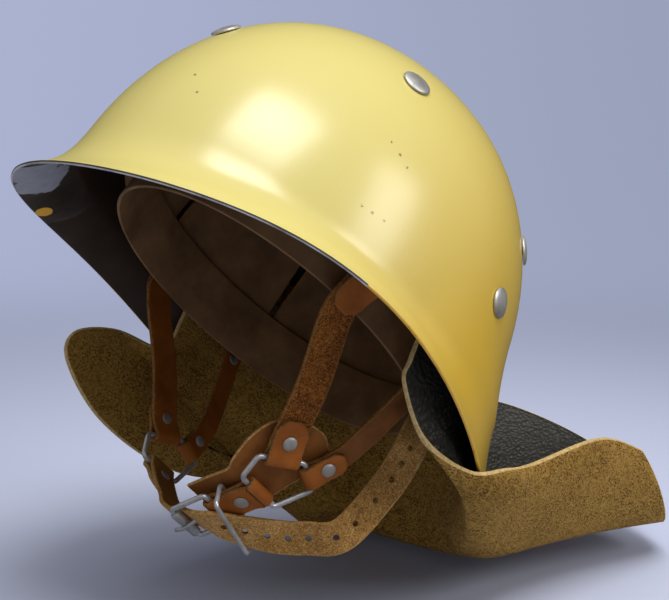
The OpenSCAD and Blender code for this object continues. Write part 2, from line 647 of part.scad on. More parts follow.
// Place of the rivet in the tab and in the strap's folded end
chin_pin = 9;
module chin_tab() {
    color([0.62, 0.32, 0.14]) in_chin() translate([0, mid_y, 0]) difference() {
        rotate([90, 0, 0]) translate([0, 0, -tab_w / 2]) linear_extrude(tab_w) difference() {
            union() {
                circle(r = fold_r, $fn = 40);
                translate([bar_at, 0]) circle(r = fold_r, $fn = 40);
                translate([0, -strap_t]) square([bar_at, 2 * strap_t]);
            }
            circle(r = wire_r + play, $fn = 32);
            translate([bar_at, 0]) circle(r = wire_r + play, $fn = 32);
        }
        translate([bar_at - fold_r - 1, -slot_w / 2, -10]) cube([20, slot_w, 20]);
        translate([chin_pin, 0, 0]) pin_hole(-10, 20);
    }
}
module chin_tab_rivet() {
    color([0.75, 0.75, 0.73]) in_chin() translate([chin_pin, mid_y, 0])
        small_rivet(-strap_t - 0.05, strap_t + 0.05);
}
module buckle_frame() {
    h = frame_w / 2;
    color([0.7, 0.7, 0.72]) in_chin() translate([bar_at, mid_y, 0])
        wire_loop([[0, -h], [buckle_l, -h], [buckle_l, h], [0, h]], 2.2, wire_r);
}
roller_l = frame_w - 4.8;
module buckle_roller() {
    color([0.68, 0.68, 0.72]) in_chin() translate([bar_at + buckle_l, mid_y, 0])
        rotate([90, 0, 0]) difference() {
        cylinder(d = roller_d, h = roller_l, center = true, $fn = 40);
        cylinder(r = wire_r + 0.08, h = roller_l + 2, center = true, $fn = 40);
    }
}
prong_r = 1;
prong = [[2.2, 0], [10, -0.4], [15, 2], [buckle_l, roller_d / 2 + prong_r + 0.15], [buckle_l + 5.5, 2]];
module prong_path(r) {
    tube([for (i = [0:16]) let (q = bend(prong, i / 4)) [q.x, 0, q.y]], [0, 1, 0], r, 10, false);
}
module buckle_prong() {
    color([0.8, 0.8, 0.8]) in_chin() translate([bar_at, mid_y, 0]) {
        rotate([90, 0, 0]) difference() {
            cylinder(r = wire_r + 1.5, h = slot_w - 0.8, center = true, $fn = 32);
            cylinder(r = wire_r + 0.08, h = slot_w + 2, center = true, $fn = 32);
        }
        difference() {
            prong_path(prong_r);
            rotate([90, 0, 0]) cylinder(r = wire_r + 0.7, h = slot_w + 2, center = true, $fn = 32);
        }
    }
}
// Keeper: a flat wire loop round the tab and the strap's tail
keeper_low = strap_t + wire_r + 0.2;
keeper_high = 8.9;
keeper_at = 17;
module strap_keeper() {
    a = 10;
    outline = [[-keeper_low, -a], [keeper_high, -a], [keeper_high + 2.5, a + 14], [-keeper_low, a + 12]];
    color([0.72, 0.72, 0.72]) in_chin() translate([keeper_at, mid_y, 0]) rotate([0, 0, -13])
        tube([for (q = rounded(outline, 2, 3)) [0, q.y, q.x]], [1, 0, 0], wire_r - 0.2, 10, true);
}

// Long chin strap: from the right ring, across below, and through the buckle
function swap(p) = [-p.x, p.y, p.z];
in_n = -strap_t / 2 - 0.1;
function ring_pt(p, n) = swap(chin_pt(p, mid_y, n));
turn_r = wire_r + play + strap_t / 2;
ring_turn = [for (a = [60:40:300]) ring_pt(turn_r * cos(a), turn_r * sin(a))];
strap_path = [
    ring_pt(front_tab - 1, -in_n), ring_pt(11, -in_n), ring_pt(5, 0.3 - in_n), each ring_turn,
    ring_pt(5, in_n - 0.3), ring_pt(12, in_n), ring_pt(22, in_n),
    swap(chin_pt(31, mid_y, in_n - 0.7)), [-10.5, mid_y, chin_o.z - 19], [-3.5, mid_y, chin_o.z - 21],
    chin_pt(47, mid_y, -4.8), chin_pt(43.5, mid_y, -4.4), chin_pt(40.3, mid_y, -2.8),
    chin_pt(37.6, mid_y, -0.2), chin_pt(34.4, mid_y, 2.2), chin_pt(30.5, mid_y + 0.4, 4.4),
    chin_pt(25.5, mid_y + 3.5, 5.6), chin_pt(19, mid_y + 12, 5.6), chin_pt(8, mid_y + 25, 5),
    chin_pt(-3, mid_y + 33, 4.6), chin_pt(-18, mid_y + 41, 3), [64, 64, -62], [67, 63, -46],
    [69, 61, -34], [70, 60, -22]];
strap_side = [
    for (k = [1:21]) [0, 1, 0],
    [-0.06, 1, -0.04], [-0.35, 1, -0.25], [-0.35, 0.8, -0.5], [-0.1, 0.7, -0.7],
    [0.1, 0.75, -0.6], [0.35, 0.87, -0.35], [0.45, 0.87, -0.1], [0.5, 0.83, 0.08],
    [0.5, 0.83, 0.1], [0.5, 0.83, 0.1]];
// Places of the punched holes, counted in path steps
hole_t = [22.35, 23.15, 23.75, 24.4, 25.1, 25.85, 26.3, 26.75, 27.3, 27.9, 28.6];
module chin_strap() {
    color([0.62, 0.42, 0.24]) difference() {
        strap_sweep(strap_path, strap_side, strap_w, strap_t, 4);
        in_chin() translate([bar_at, mid_y, 0]) prong_path(prong_r + 0.4);
        mirror([1, 0, 0]) in_chin() translate([chin_pin, mid_y, 0]) pin_hole(-10, 20);
        for (t = hole_t) {
            c = bend(strap_path, t);
            tan = unit(bend(strap_path, t + 0.05) - bend(strap_path, t - 0.05));
            n = unit(cross(tan, bend(strap_side, t)));
            translate(c) rotate([0, acos(n.z), atan2(n.y, n.x)])
                cylinder(d = hole_d, h = 8, center = true, $fn = 14);
        }
    }
}
module chin_strap_rivet() {
    color([0.75, 0.75, 0.73]) mirror([1, 0, 0]) in_chin() translate([chin_pin, mid_y, 0])
        small_rivet(-strap_t - 0.4, strap_t + 0.4);
}

// Neck guard: one hide, held by the side rivets, its free part turned up
// Offsets at four angles from the side edge to the rear centre: two from the
// inner side of the wall on its way down, then from the rim and on beyond it
guard_step = 29;
guard_off = [
    [[-2, 2, -2], [-6.5, 4, -6], [-18, 8, -10], [-18, 34, -22], [-14, 63, -18.5],
     [-12.5, 80, -5], [-20, 100, 11], [-21, 133, 50], [-24, 166, 66]],
    [[-1.9, -0.8, -0.1], [-4.6, -0.3, -2.3], [-8.2, 1.6, -5.2], [-14, 16, -11], [-20, 38, -9],
     [-26, 58, -1], [-30, 80, 13], [-29, 115, 42], [-24, 154, 74]],
    [[-0.8, -1.2, 0], [-2.4, -3, -0.7], [-6, -7, -1], [-8, 5, -8], [-8, 18, -5],
     [-8, 29, 3], [-11, 48, 24], [-14, 76, 60], [-16, 106, 98]],
    [[0, -0.5, 0], [0, -2.8, -0.2], [0, -6, -2], [0, 0, -8], [0, 9, -4],
     [0, 17, 8], [0, 32, 36], [0, 52, 74], [0, 74, 114]]];
right_off = [
    [[-2, 2, -2], [-6.5, 4, -6], [-17, -2, -11], [-12, -26, -18], [-12, -44, -34], [-14, -38, -49],
     [-19, -2, -62], [-21, 50, -56], [-20, 98, -26]],
    [[-1.9, -0.8, -0.1], [-4.6, -0.3, -2.3], [-8.2, 1.6, -7], [-12, 16, -21], [-16, 38, -25],
     [-18, 62, -12], [-21, 82, 22], [-25, 93, 63], [-26, 104, 102]],
    [[-0.8, -1.2, 0], [-2.4, -3, -0.7], [-6, -7, -1], [-8, 5, -8], [-8, 18, -5],
     [-8, 26, 8], [-10, 36, 38], [-11, 48, 76], [-12, 60, 114]],
    guard_off[3]];
flip_x = [for (c = right_off) [for (o = c) swap(o)]];
off_net = [guard_off[0], guard_off[1], guard_off[2], guard_off[3], flip_x[2], flip_x[1], flip_x[0]];
guard_in = hide_at + guard_t / 2;
function guard_rows(u) =
    let (a = 93 + guard_step * u, o = bend(off_net, u))
    [on_dome(a, guard_top, guard_in), on_dome(a, guard_top * 0.5, guard_in), inset(a, 1, guard_in),
     inset(a, 1.4, guard_in) + o[0], inset(a, 1.7, guard_in) + o[1], for (k = [2:8]) rim_pt(a) + o[k]];
module neck_guard() {
    nu = 42;
    nv = 26;
    color([0.16, 0.15, 0.14]) difference() {
        sheet([for (i = [0:nu]) let (rows = guard_rows(6 * i / nu))
            [for (j = [0:nv]) bend(rows, 11 * j / nv)]], guard_t);
        for (a = guard_a) at_dome(a, side_rivet_z) shank_hole(-12, 12);
    }
}

shell();
crown_rivets();
crown_washers();
guard_rivets();
guard_washers();
liner_hoop();
crown_straps();
hoop_rivets();
liner_leaves();
crown_lace();
sweatband();
neck_guard();
left_hangers();
right_hangers();
hanger_rivets();
left_loops();
right_loops();
left_front_strap();
right_front_strap();
left_rear_strap();
right_rear_strap();
left_ring();
right_ring();
left_chin_pad();
strap_rivets();
strap_rivets_right();
chin_tab();
chin_tab_rivet();
buckle_frame();
buckle_roller();
buckle_prong();
strap_keeper();
chin_strap();
chin_strap_rivet();
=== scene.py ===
"""A steel fire helmet with a leather liner, a turned-up neck guard and a chin harness."""
import math

import bmesh
import bpy
import numpy as np
from mathutils import Matrix, Vector, noise


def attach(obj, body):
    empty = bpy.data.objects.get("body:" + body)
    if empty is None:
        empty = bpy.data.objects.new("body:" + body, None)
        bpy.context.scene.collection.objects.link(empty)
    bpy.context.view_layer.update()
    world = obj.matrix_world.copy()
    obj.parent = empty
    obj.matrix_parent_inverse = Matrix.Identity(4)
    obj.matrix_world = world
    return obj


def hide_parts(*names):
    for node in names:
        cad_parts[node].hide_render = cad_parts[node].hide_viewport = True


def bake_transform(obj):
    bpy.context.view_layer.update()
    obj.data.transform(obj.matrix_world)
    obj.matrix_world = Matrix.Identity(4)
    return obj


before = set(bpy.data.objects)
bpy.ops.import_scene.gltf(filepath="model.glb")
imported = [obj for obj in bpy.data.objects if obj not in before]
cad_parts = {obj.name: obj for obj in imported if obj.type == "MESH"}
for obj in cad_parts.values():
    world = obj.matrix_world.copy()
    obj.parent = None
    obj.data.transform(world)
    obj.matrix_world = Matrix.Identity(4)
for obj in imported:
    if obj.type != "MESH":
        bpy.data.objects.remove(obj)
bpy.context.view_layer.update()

MM = 0.001

# Camera at the photograph's viewing angle: a 669 by 600 image, sizes in mm
CAM_AZ, CAM_EL, CAM_ROLL = 57.95, -22.56, 33.59
CAM_FOCAL_PX = 1332.26
CAM_DIST = 671.36
CAM_TARGET = (10.11, 16.7, 12.77)
IMAGE_W = 669

# Shell, as in the CAD source
DOME_FRONT, DOME_REAR, DOME_SIDE, DOME_HEIGHT, DOME_POWER = 130, 117, 102, 137, 2.1
RIM_FRONT, RIM_REAR, RIM_SIDE = 145, 151, 116
DROP_FRONT, DROP_TEMPLE, DROP_EAR, DROP_NECK, DROP_REAR = 43, 24, 22, 35, 38
FLARE_POWER, VISOR_POWER, NAPE_POWER, NAPE_OUT, LEAN_FROM = 2.2, 3.0, 1.0, 12, 0.82
SHELL_WALL = 1.6

# Rivets
HEAD_D, HEAD_H = 15, 2.2
CROWN = ((0, 73), (61, 93), (128, 82), (180, 82), (232, 82), (299, 93))
GUARD_RIVETS = (112, 180, 248)
SIDE_RIVET_Z = 35

# Liner
HOOP_SIDE, HOOP_LONG, HOOP_H, HOOP_T, HOOP_Y, HOOP_Z = 79, 100, 22, 1.2, -3, 2
RISER_W, RISER_T = 16, 1.6
CROWN_Z = 104
BAND_H, BAND_T = 31, 1.8
LEAF_T, LEAF_IN = 1.4, 1.3

# Harness
STRAP_W, REAR_W, STRAP_T, PAD_T = 16.4, 11.5, 2.2, 1.6
WIRE_R, PLAY = 1.3, 0.35
ROLLER_R = 2.4
BUCKLE_L = 20.5
HARNESS_LEAN, CHIN_LEAN, HARNESS_DROP = 24.5, 57.4, 101
HANG_X, HANG_Z = HOOP_SIDE + 6, -6
HANGER_T = 1.6
FRONT_Y, REAR_Y = -21.5, 38.5
LOOP_H = 10
MID_Y = 18.5
BAR_AT = 23
PIN_R = 1.4
SMALL_HEAD_D = 7

# Neck guard
GUARD_T, GUARD_TOP = 3, 46
HIDE_AT = SHELL_WALL + 0.5


def unit(v):
    v = np.asarray(v, float)
    return v / np.linalg.norm(v)


def cosd(a):
    return math.cos(math.radians(a))


def sind(a):
    return math.sin(math.radians(a))


# The shell's surface

def rim_z(a):
    ends = -(DROP_FRONT + DROP_REAR) / 2
    h2 = (ends + DROP_EAR) / 2
    h04 = (ends - DROP_EAR) / 2
    h0 = (h04 - DROP_TEMPLE - DROP_NECK + h2) / 3
    half = (DROP_REAR - DROP_FRONT) / 2
    h3 = (half - (DROP_NECK - DROP_TEMPLE)) / 3
    return h0 + (half - h3) * cosd(a) + h2 * cosd(2 * a) + h3 * cosd(3 * a) + (h04 - h0) * cosd(4 * a)


def rim_pt(a):
    reach = RIM_FRONT if cosd(a) > 0 else RIM_REAR
    return np.array([RIM_SIDE * sind(a), -reach * cosd(a), rim_z(a)])


def lean(a, s):
    """How far the nape's wall leans out."""
    return NAPE_OUT * max(0.0, -cosd(a)) * max(0.0, (min(s, 1) - LEAN_FROM) / (1 - LEAN_FROM)) ** 2


def skin(a, s):
    """Outer surface: s is 0 at the crown, 1 at the base plane and 2 at the rim."""
    reach = DOME_FRONT if cosd(a) > 0 else DOME_REAR
    if s <= 1:
        r = max(0.0, cosd(90 * (1 - s))) ** (2 / DOME_POWER)
        z = max(0.0, sind(90 * (1 - s))) ** (2 / DOME_POWER)
        n = lean(a, s)
        return np.array([(DOME_SIDE * r + n) * sind(a), -(reach * r + n) * cosd(a), DOME_HEIGHT * z])
    flare = FLARE_POWER + (VISOR_POWER - FLARE_POWER) * max(0.0, cosd(a)) ** 2
    flare += (NAPE_POWER - FLARE_POWER) * max(0.0, -cosd(a))
    w = (s - 1) ** flare
    n = lean(a, 1)
    far = RIM_FRONT if cosd(a) > 0 else RIM_REAR
    return np.array([(DOME_SIDE + n + (RIM_SIDE - DOME_SIDE - n) * w) * sind(a),
                     -(reach + n + (far - reach - n) * w) * cosd(a), rim_z(a) * (s - 1)])


def skin_normal(a, s):
    da = skin(a + 0.5, s) - skin(a - 0.5, s)
    ds = skin(a, min(2, s + 0.01)) - skin(a, max(0.02, s - 0.01))
    return unit(np.cross(ds, da))


def inset(a, s, d):
    return skin(a, s) - d * skin_normal(a, s)


def dome_s(z):
    return 1 - math.degrees(math.asin((z / DOME_HEIGHT) ** (DOME_POWER / 2))) / 90


def on_dome(a, z, d):
    return inset(a, dome_s(z), d)


# Curves and meshes

FLIP = np.array([-1, 1, 1])
# Radius of a strap's cut edges, the step along a bent wire, and the sharpest edge that is shaded smooth
CUT_ROUND, WIRE_STEP, CRISP = 0.62, 1.2, math.radians(50)


def level(n):
    """The level direction square to n."""
    return unit(np.cross([0, 0, 1.0], n))


def bend(p, t):
    """Smooth curve through the rows of p, t counted in rows."""
    n = len(p) - 1
    i = min(n - 1, int(t))
    f = t - i
    a, b, c, d = p[max(0, i - 1)], p[i], p[i + 1], p[min(n, i + 2)]
    return 0.5 * (2 * b + (c - a) * f + (2 * a - 5 * b + 4 * c - d) * f * f
                  + (3 * b - a - 3 * c + d) * f ** 3)


def even(path, extra, step):
    """The curve through path, and extra values along it, sampled at even steps of its length."""
    rows = np.hstack([np.asarray(path, float), np.asarray(extra, float)])
    last = len(rows) - 1
    pts = np.array([bend(rows, t) for t in np.linspace(0, last, 24 * last + 1)])
    run = np.concatenate([[0], np.cumsum(np.linalg.norm(np.diff(pts[:, :3], axis=0), axis=1))])
    at = np.linspace(0, run[-1], max(4, int(run[-1] / step)) + 1)
    out = np.stack([np.interp(at, run, c) for c in pts.T], 1)
    return out[:, :3], out[:, 3:], at


def add_object(name, data):
    obj = bpy.data.objects.new(name, data)
    bpy.context.scene.collection.objects.link(obj)
    return obj


def mesh_object(name, part, mats):
    """A mesh from (vertices in mm, faces[, the material of each face])."""
    verts, faces, *kinds = part
    mesh = bpy.data.meshes.new(name)
    mesh.from_pydata([tuple(float(x) * MM for x in v) for v in verts], [], [tuple(f) for f in faces])
    for m in mats:
        mesh.materials.append(m)
    if kinds:
        mesh.polygons.foreach_set("material_index", kinds[0])
    mesh.polygons.foreach_set("use_smooth", [True] * len(mesh.polygons))
    return add_object(name, mesh)


def piece(name, part, body, node, slot, *mats):
    """A piece of the helmet that rides on a body and stands for a CAD node."""
    obj = mesh_object(name, part, mats)
    obj.data.validate()
    obj.data.update()
    if body:
        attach(obj, body)
    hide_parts(*node.split())
    return obj


def rings(points, k, closed):
    """Quads between successive rings of k points, the rings joined end to end when closed."""
    n = len(points) // k
    faces = []
    for i in range(n if closed else n - 1):
        here, there = i * k, (i + 1) % n * k
        for j in range(k):
            q = (j + 1) % k
            faces.append((here + j, here + q, there + q, there + j))
    return faces


def wire(path, r, sides=14, closed=True):
    """Round wire along a path: (vertices, faces)."""
    path = np.asarray(path, float)
    before, after = (-1, 0) if closed else (0, -1)
    near = [path[before], *path, path[after]]
    verts = []
    up = None
    for i in range(len(path)):
        t = unit(near[i + 2] - near[i])
        if up is None:
            up = np.array([0, 0, 1.0]) if abs(t[2]) < 0.9 else np.array([1.0, 0, 0])
        side = unit(np.cross(up, t))
        up = np.cross(t, side)
        for j in range(sides):
            b = 2 * math.pi * j / sides
            verts.append(path[i] + r * (math.cos(b) * side + math.sin(b) * up))
    faces = rings(verts, sides, closed)
    if not closed:
        for end, beside, base in ((0, 1, 0), (-1, -2, len(verts) - sides)):
            tip = len(verts)
            verts.append(path[end] + unit(path[end] - path[beside]) * r * 0.45)
            for j in range(sides):
                f = (base + j, base + (j + 1) % sides, tip)
                faces.append(f if base else f[::-1])
    return verts, faces


def dense(ring):
    """Extra points along a closed wire's straight runs."""
    out = []
    for a, b in zip(ring, ring[1:] + ring[:1]):
        cuts = max(1, int(np.linalg.norm(b - a) / WIRE_STEP))
        out += [a + (b - a) * j / cuts for j in range(cuts)]
    return out


def rounded(corners, cr, k):
    """A closed outline with its corners rounded at radius cr, evenly enough for a wire."""
    p = [np.asarray(c, float) for c in corners]
    out = []
    for i in range(len(p)):
        u, v = unit(p[i - 1] - p[i]), unit(p[(i + 1) % len(p)] - p[i])
        half = math.acos(float(np.clip(u @ v, -1, 1))) / 2
        back = cr / math.tan(half)
        mid = p[i] + unit(u + v) * cr / math.sin(half)
        s, e = p[i] + u * back - mid, p[i] + v * back - mid
        out += [mid + cr * unit(s * (1 - j / k) + e * j / k) for j in range(k + 1)]
    return out


def strap_section(w, t):
    """Cross-section of a flat strap: (side, up) points and the kind of face that each segment makes."""
    r = min(CUT_ROUND, t / 2 - 0.05)
    half = [(-w / 2 + r + (w - 2 * r) * j / 8, t / 2) for j in range(9)]
    half += [(w / 2 - r + r * cosd(a), math.copysign(t / 2 - r, a) + r * sind(a)) for a in (60, 20, -20, -60)]
    return half + [(-u, -v) for u, v in half], [0] * 8 + [2] * 5 + [1] * 8 + [2] * 5


def strap(path, sides, width, t, step=1.4, ends=(0, 0), wander=0.12, seed=1.0):
    """A leather strap swept along a path with its width along the sides vectors.

    ends are the radii of its rounded ends. Returns vertices, faces and face kinds:
    0 its upper face, 1 its lower face, 2 its cut edge."""
    pts, side, run = even(path, sides, step)
    section, kind = strap_section(width, t)
    k, n = len(section), len(pts)
    verts = []
    for i in range(n):
        narrow = 1.0
        for r, d in ((ends[0], run[i]), (ends[1], run[-1] - run[i])):
            if r and d < r:
                narrow = min(narrow, math.sqrt(max(0.0, 1 - (1 - max(d, 0.12 * r) / r) ** 2)))
        along = unit(pts[min(n - 1, i + 1)] - pts[max(0, i - 1)])
        across = unit(side[i] - along * (side[i] @ along))
        up = np.cross(along, across)
        for u, v in section:
            hand = 1.0 if u > 0 else -1.0
            wob = wander * noise.noise(Vector((run[i] * 0.11, seed * 7.3, hand)))
            verts.append(pts[i] + across * (u * narrow + wob * hand) + up * v)
    faces = [f[::-1] for f in rings(verts, k, False)]
    faces += [tuple(range(k)), tuple(range((n - 1) * k, n * k))[::-1]]
    return verts, faces, kind * (n - 1) + [2, 2]


def thick(grid, t, edge_rows=4, bulge=0.45):
    """A closed sheet round the grid's middle surface: vertices, faces and face kinds."""
    g = np.asarray(grid, float)
    n, m = g.shape[:2]
    nor = np.cross(np.gradient(g, axis=0), np.gradient(g, axis=1))
    nor = (nor / np.linalg.norm(nor, axis=2, keepdims=True)).reshape(-1, 3)
    flat = g.reshape(-1, 3)
    verts = list(flat + nor * t / 2) + list(flat - nor * t / 2)
    k = n * m
    faces, kinds = [], []
    for i in range(n - 1):
        for a in range(i * m, i * m + m - 1):
            faces += [(a, a + m, a + m + 1, a + 1), (k + a, k + a + 1, k + a + m + 1, k + a + m)]
            kinds += [0, 1]
    at = np.arange(k).reshape(n, m)
    edge = np.concatenate([at[0, :-1], at[:-1, -1], at[-1, :0:-1], at[:0:-1, 0]]).tolist()
    count = len(edge)
    loops = [edge]
    for q in range(1, edge_rows):
        turn = math.pi * q / edge_rows
        loops.append(range(len(verts), len(verts) + count))
        for e in range(count):
            up = nor[edge[e]]
            out = unit(np.cross(unit(flat[edge[(e + 1) % count]] - flat[edge[e - 1]]), up))
            verts.append(flat[edge[e]] + up * t / 2 * math.cos(turn) - out * t * bulge * math.sin(turn))
    loops.append([k + e for e in edge])
    for one, two in zip(loops, loops[1:]):
        for e in range(count):
            f = (e + 1) % count
            faces.append((one[e], one[f], two[f], two[e]))
    return verts, faces, kinds + [2] * (edge_rows * count)


def lathe(profile, sides=36):
    """Turned piece about Z: a profile of (radius, z), from the axis round to the axis or a closed ring."""
    ring = profile[0][0] > 0
    turns = [2 * math.pi * j / sides for j in range(sides)]
    verts = [np.array([r * math.cos(a), r * math.sin(a), z]) for r, z in profile if r > 0 for a in turns]
    faces = rings(verts, sides, ring)
    if not ring:
        top, last = len(verts), len(verts) - sides
        pairs = [(i, (i + 1) % sides) for i in range(sides)]
        faces += [(j, i, top) for i, j in pairs] + [(top + 1, last + i, last + j) for i, j in pairs]
        verts += [np.array([0, 0, profile[0][1]]), np.array([0, 0, profile[-1][1]])]
    return verts, faces


def plug(r, half, sides=20):
    """A round bar that cuts a hole."""
    return lathe([(0, -half), (r, -half), (r, half), (0, half)], sides)


def placed(part, origin, x, y, z):
    """A part with its axes turned to x, y and z and its origin moved."""
    verts, *rest = part
    m = np.stack([unit(x), unit(y), unit(z)], 1)
    return ([m @ np.asarray(v) + origin for v in verts], *rest)


def along_normal(part, p, n):
    """Puts a turned part's Z along n, its origin at p."""
    n = unit(n)
    x = level(n) if abs(n[2]) < 0.99 else np.array([1.0, 0, 0])
    return placed(part, p, x, np.cross(n, x), n)


def joined(parts):
    """Several (vertices, faces[, kinds]) as one."""
    verts, faces, kinds = [], [], []
    for v, f, *k in parts:
        base = len(verts)
        verts += list(v)
        faces += [tuple(base + i for i in q) for q in f]
        kinds += k[0] if k else [0] * len(f)
    return verts, faces, kinds


def mirrored(part):
    verts, faces, *kinds = part
    return ([v * FLIP for v in verts], [tuple(f)[::-1] for f in faces], *kinds)


def cut(obj, holes):
    """Cuts the holes' solids out of a piece; their walls take its last material."""
    verts, faces, _ = joined(holes)
    mats = obj.data.materials
    cutter = mesh_object("cutter", (verts, faces, [len(mats) - 1] * len(faces)), mats)
    mod = obj.modifiers.new("holes", "BOOLEAN")
    mod.operation = "DIFFERENCE"
    mod.object = cutter
    mod.solver = "EXACT"
    mod.use_self = False
    done = bpy.data.meshes.new_from_object(obj.evaluated_get(bpy.context.evaluated_depsgraph_get()))
    obj.modifiers.clear()
    spare = (cutter.data, obj.data)
    obj.data = done
    bpy.data.objects.remove(cutter)
    for mesh in spare:
        bpy.data.meshes.remove(mesh)
    done.polygons.foreach_set("use_smooth", [True] * len(done.polygons))
    bm = bmesh.new()
    bm.from_mesh(done)
    for e in bm.edges:
        e.smooth = len(e.link_faces) != 2 or e.calc_face_angle(0) < CRISP
    bm.to_mesh(done)
    bm.free()


# Materials

SOCKETS = {"color": "Base Color", "rough": "Roughness", "metal": "Metallic", "normal": "Normal",
           "coat": "Coat Weight", "coat_rough": "Coat Roughness", "coat_ior": "Coat IOR",
           "sheen": "Sheen Weight", "sheen_rough": "Sheen Roughness", "spec": "Specular IOR Level"}


class Nodes:
    """Short names for the shader nodes that the materials are made of."""

    def __init__(self, tree):
        tree.nodes.clear()
        self.tree = tree
        self.where = self.put("ShaderNodeTexCoord").outputs["Object"]

    def give(self, socket, value):
        """Links a socket, or sets it to a number, a vector or an opaque colour."""
        if isinstance(value, bpy.types.NodeSocket):
            self.tree.links.new(value, socket)
        else:
            socket.default_value = (*value, 1) if socket.type == "RGBA" else value

    def put(self, kind, inputs=(), **settings):
        node = self.tree.nodes.new(kind)
        for key, value in settings.items():
            setattr(node, key, value)
        for key, value in dict(inputs).items():
            self.give(node.inputs[key], value)
        return node

    def noise(self, scale, detail=4.0, rough=0.55, warp=0.0, at=None):
        return self.put("ShaderNodeTexNoise", {"Vector": at or self.where, "Scale": scale, "Detail": detail,
                                               "Roughness": rough, "Distortion": warp}).outputs["Fac"]

    def cells(self, scale, at=None):
        n = self.put("ShaderNodeTexVoronoi", {"Vector": at or self.where, "Scale": scale})
        return n.outputs["Distance"]

    def ramp(self, fac, *stops):
        n = self.put("ShaderNodeValToRGB", {"Fac": fac})
        ramp = n.color_ramp
        while len(ramp.elements) < len(stops):
            ramp.elements.new(0.5)
        for e, (pos, col) in zip(ramp.elements, stops):
            e.position = pos
            e.color = (*col, 1)
        return n.outputs["Color"]

    def step(self, fac, low, high):
        return self.put("ShaderNodeMapRange", {"Value": fac, "From Min": low, "From Max": high},
                        interpolation_type="SMOOTHSTEP").outputs["Result"]

    def mix(self, fac, a, b):
        return self.put("ShaderNodeMix", {0: fac, 6: a, 7: b}, data_type="RGBA").outputs[2]

    def math(self, how, a, b):
        return self.put("ShaderNodeMath", {0: a, 1: b}, operation=how).outputs[0]

    def times(self, a, b):
        return self.math("MULTIPLY", a, b)

    def plus(self, a, b):
        return self.math("ADD", a, b)

    def total(self, *parts):
        """Sum of (value, share) pairs."""
        first = self.times(*parts[0])
        return self.plus(first, self.total(*parts[1:])) if parts[1:] else first

    def away(self, centre):
        """Distance from a place given in mm."""
        return self.put("ShaderNodeVectorMath", {0: self.where, 1: [c * MM for c in centre]},
                        operation="DISTANCE").outputs["Value"]

    def spot(self, centre, radius):
        """1 at the heart of a ball round centre (mm) and 0 outside it."""
        return self.step(self.away(centre), radius * MM, radius * MM * 0.3)

    def bump(self, height, strength, distance, under=None):
        n = self.put("ShaderNodeBump", {"Height": height, "Strength": strength, "Distance": distance * MM})
        if under is not None:
            self.give(n.inputs["Normal"], under)
        return n.outputs["Normal"]

    def set(self, **inputs):
        for key, value in inputs.items():
            self.give(self.shader.inputs[SOCKETS[key]], value)
        return self.made


def material(name):
    m = bpy.data.materials.new(name)
    m.use_nodes = True
    n = Nodes(m.node_tree)
    n.made = m
    n.shader = n.put("ShaderNodeBsdfPrincipled")
    n.out = n.put("ShaderNodeOutputMaterial", {0: n.shader.outputs[0]})
    return n


# Nicks through the paint: place on the dome in mm and size
NICKS = (((29, -121.9, 28.9), 1.1), ((37.8, -119.7, 19.2), 1.0), ((89.4, -46.4, 46.4), 1.3),
         ((87, -52.2, 49), 0.9), ((91.9, -41.1, 43.3), 0.9), ((95.1, -45.1, 12.8), 1.2),
         ((93.6, -50.3, 12.2), 0.8), ((96.8, -38.9, 13.7), 0.8), ((77.4, -50, 0.2), 1.0),
         ((69.8, -52.3, 0.1), 0.9), ((-18.4, -113.6, 0.1), 1.1), ((60, -98, 31), 0.7))

# Worn places under the peak: place in mm and size
BARE_PATCHES = (((-30, -134, -38), 25), ((-50, -119, -29), 20))
ORANGE_DAB, DAB_R = (-79, -99.5, -29), 6.5


def paint():
    """Ochre paint, paler at the front as painted sheen and deeper low down and behind as painted shade, with
    specks and ragged nicks through it.
    """
    n = material("gloss_ochre_paint")
    _, y, z = n.put("ShaderNodeSeparateXYZ", {0: n.where}).outputs
    # Painted shade: the colour deepens low down and towards the rear, and stays paler at the front as painted
    # sheen
    low = n.plus(n.times(n.step(z, 0.1, 0.0), 0.4), 0.6)
    painted_shade = n.times(low, n.step(y, -0.08, 0.05))
    base = n.mix(painted_shade, (0.66, 0.57, 0.19), (0.58, 0.35, 0.012))
    tone = n.mix(n.times(n.noise(9, 3, 0.6), 0.16), base, (0.7, 0.6, 0.22))
    worn = n.times(n.step(n.cells(260), 0.05, 0.02), n.step(n.noise(14, 2), 0.62, 0.7))
    ragged = n.times(n.plus(n.noise(1400, 3, 0.75, 1.2), -0.5), 0.0034)
    for centre, r in NICKS:
        nick = n.step(n.plus(n.away(centre), ragged), r * MM * 0.75, r * MM * 0.4)
        worn = n.math("MAXIMUM", worn, nick)
    dents = n.bump(n.noise(16, 2, 0.5), 0.2, 1.2)
    return n.set(color=n.mix(worn, tone, (0.2, 0.11, 0.045)), rough=0.5, coat=0.9, coat_rough=0.24,
                 coat_ior=1.55, spec=0.08, normal=n.bump(n.noise(120, 2, 0.5), 0.1, 0.25, dents))


def inner_paint():
    n = material("dark_brown_inside")
    return n.set(color=n.ramp(n.noise(22, 5, 0.65), (0.3, (0.022, 0.014, 0.01)), (0.7, (0.06, 0.035, 0.02))),
                 rough=0.5, coat=0.3, coat_rough=0.3, normal=n.bump(n.noise(180, 3), 0.3, 0.3))


def bare_edge():
    n = material("bare_rim_edge")
    streak = n.noise(60, 4, 0.7)
    return n.set(color=n.ramp(streak, (0.34, (0.3, 0.29, 0.29)), (0.54, (0.72, 0.72, 0.72))), metal=0.35,
                 rough=n.plus(n.times(streak, 0.3), 0.3), normal=n.bump(n.noise(300, 3), 0.4, 0.15))


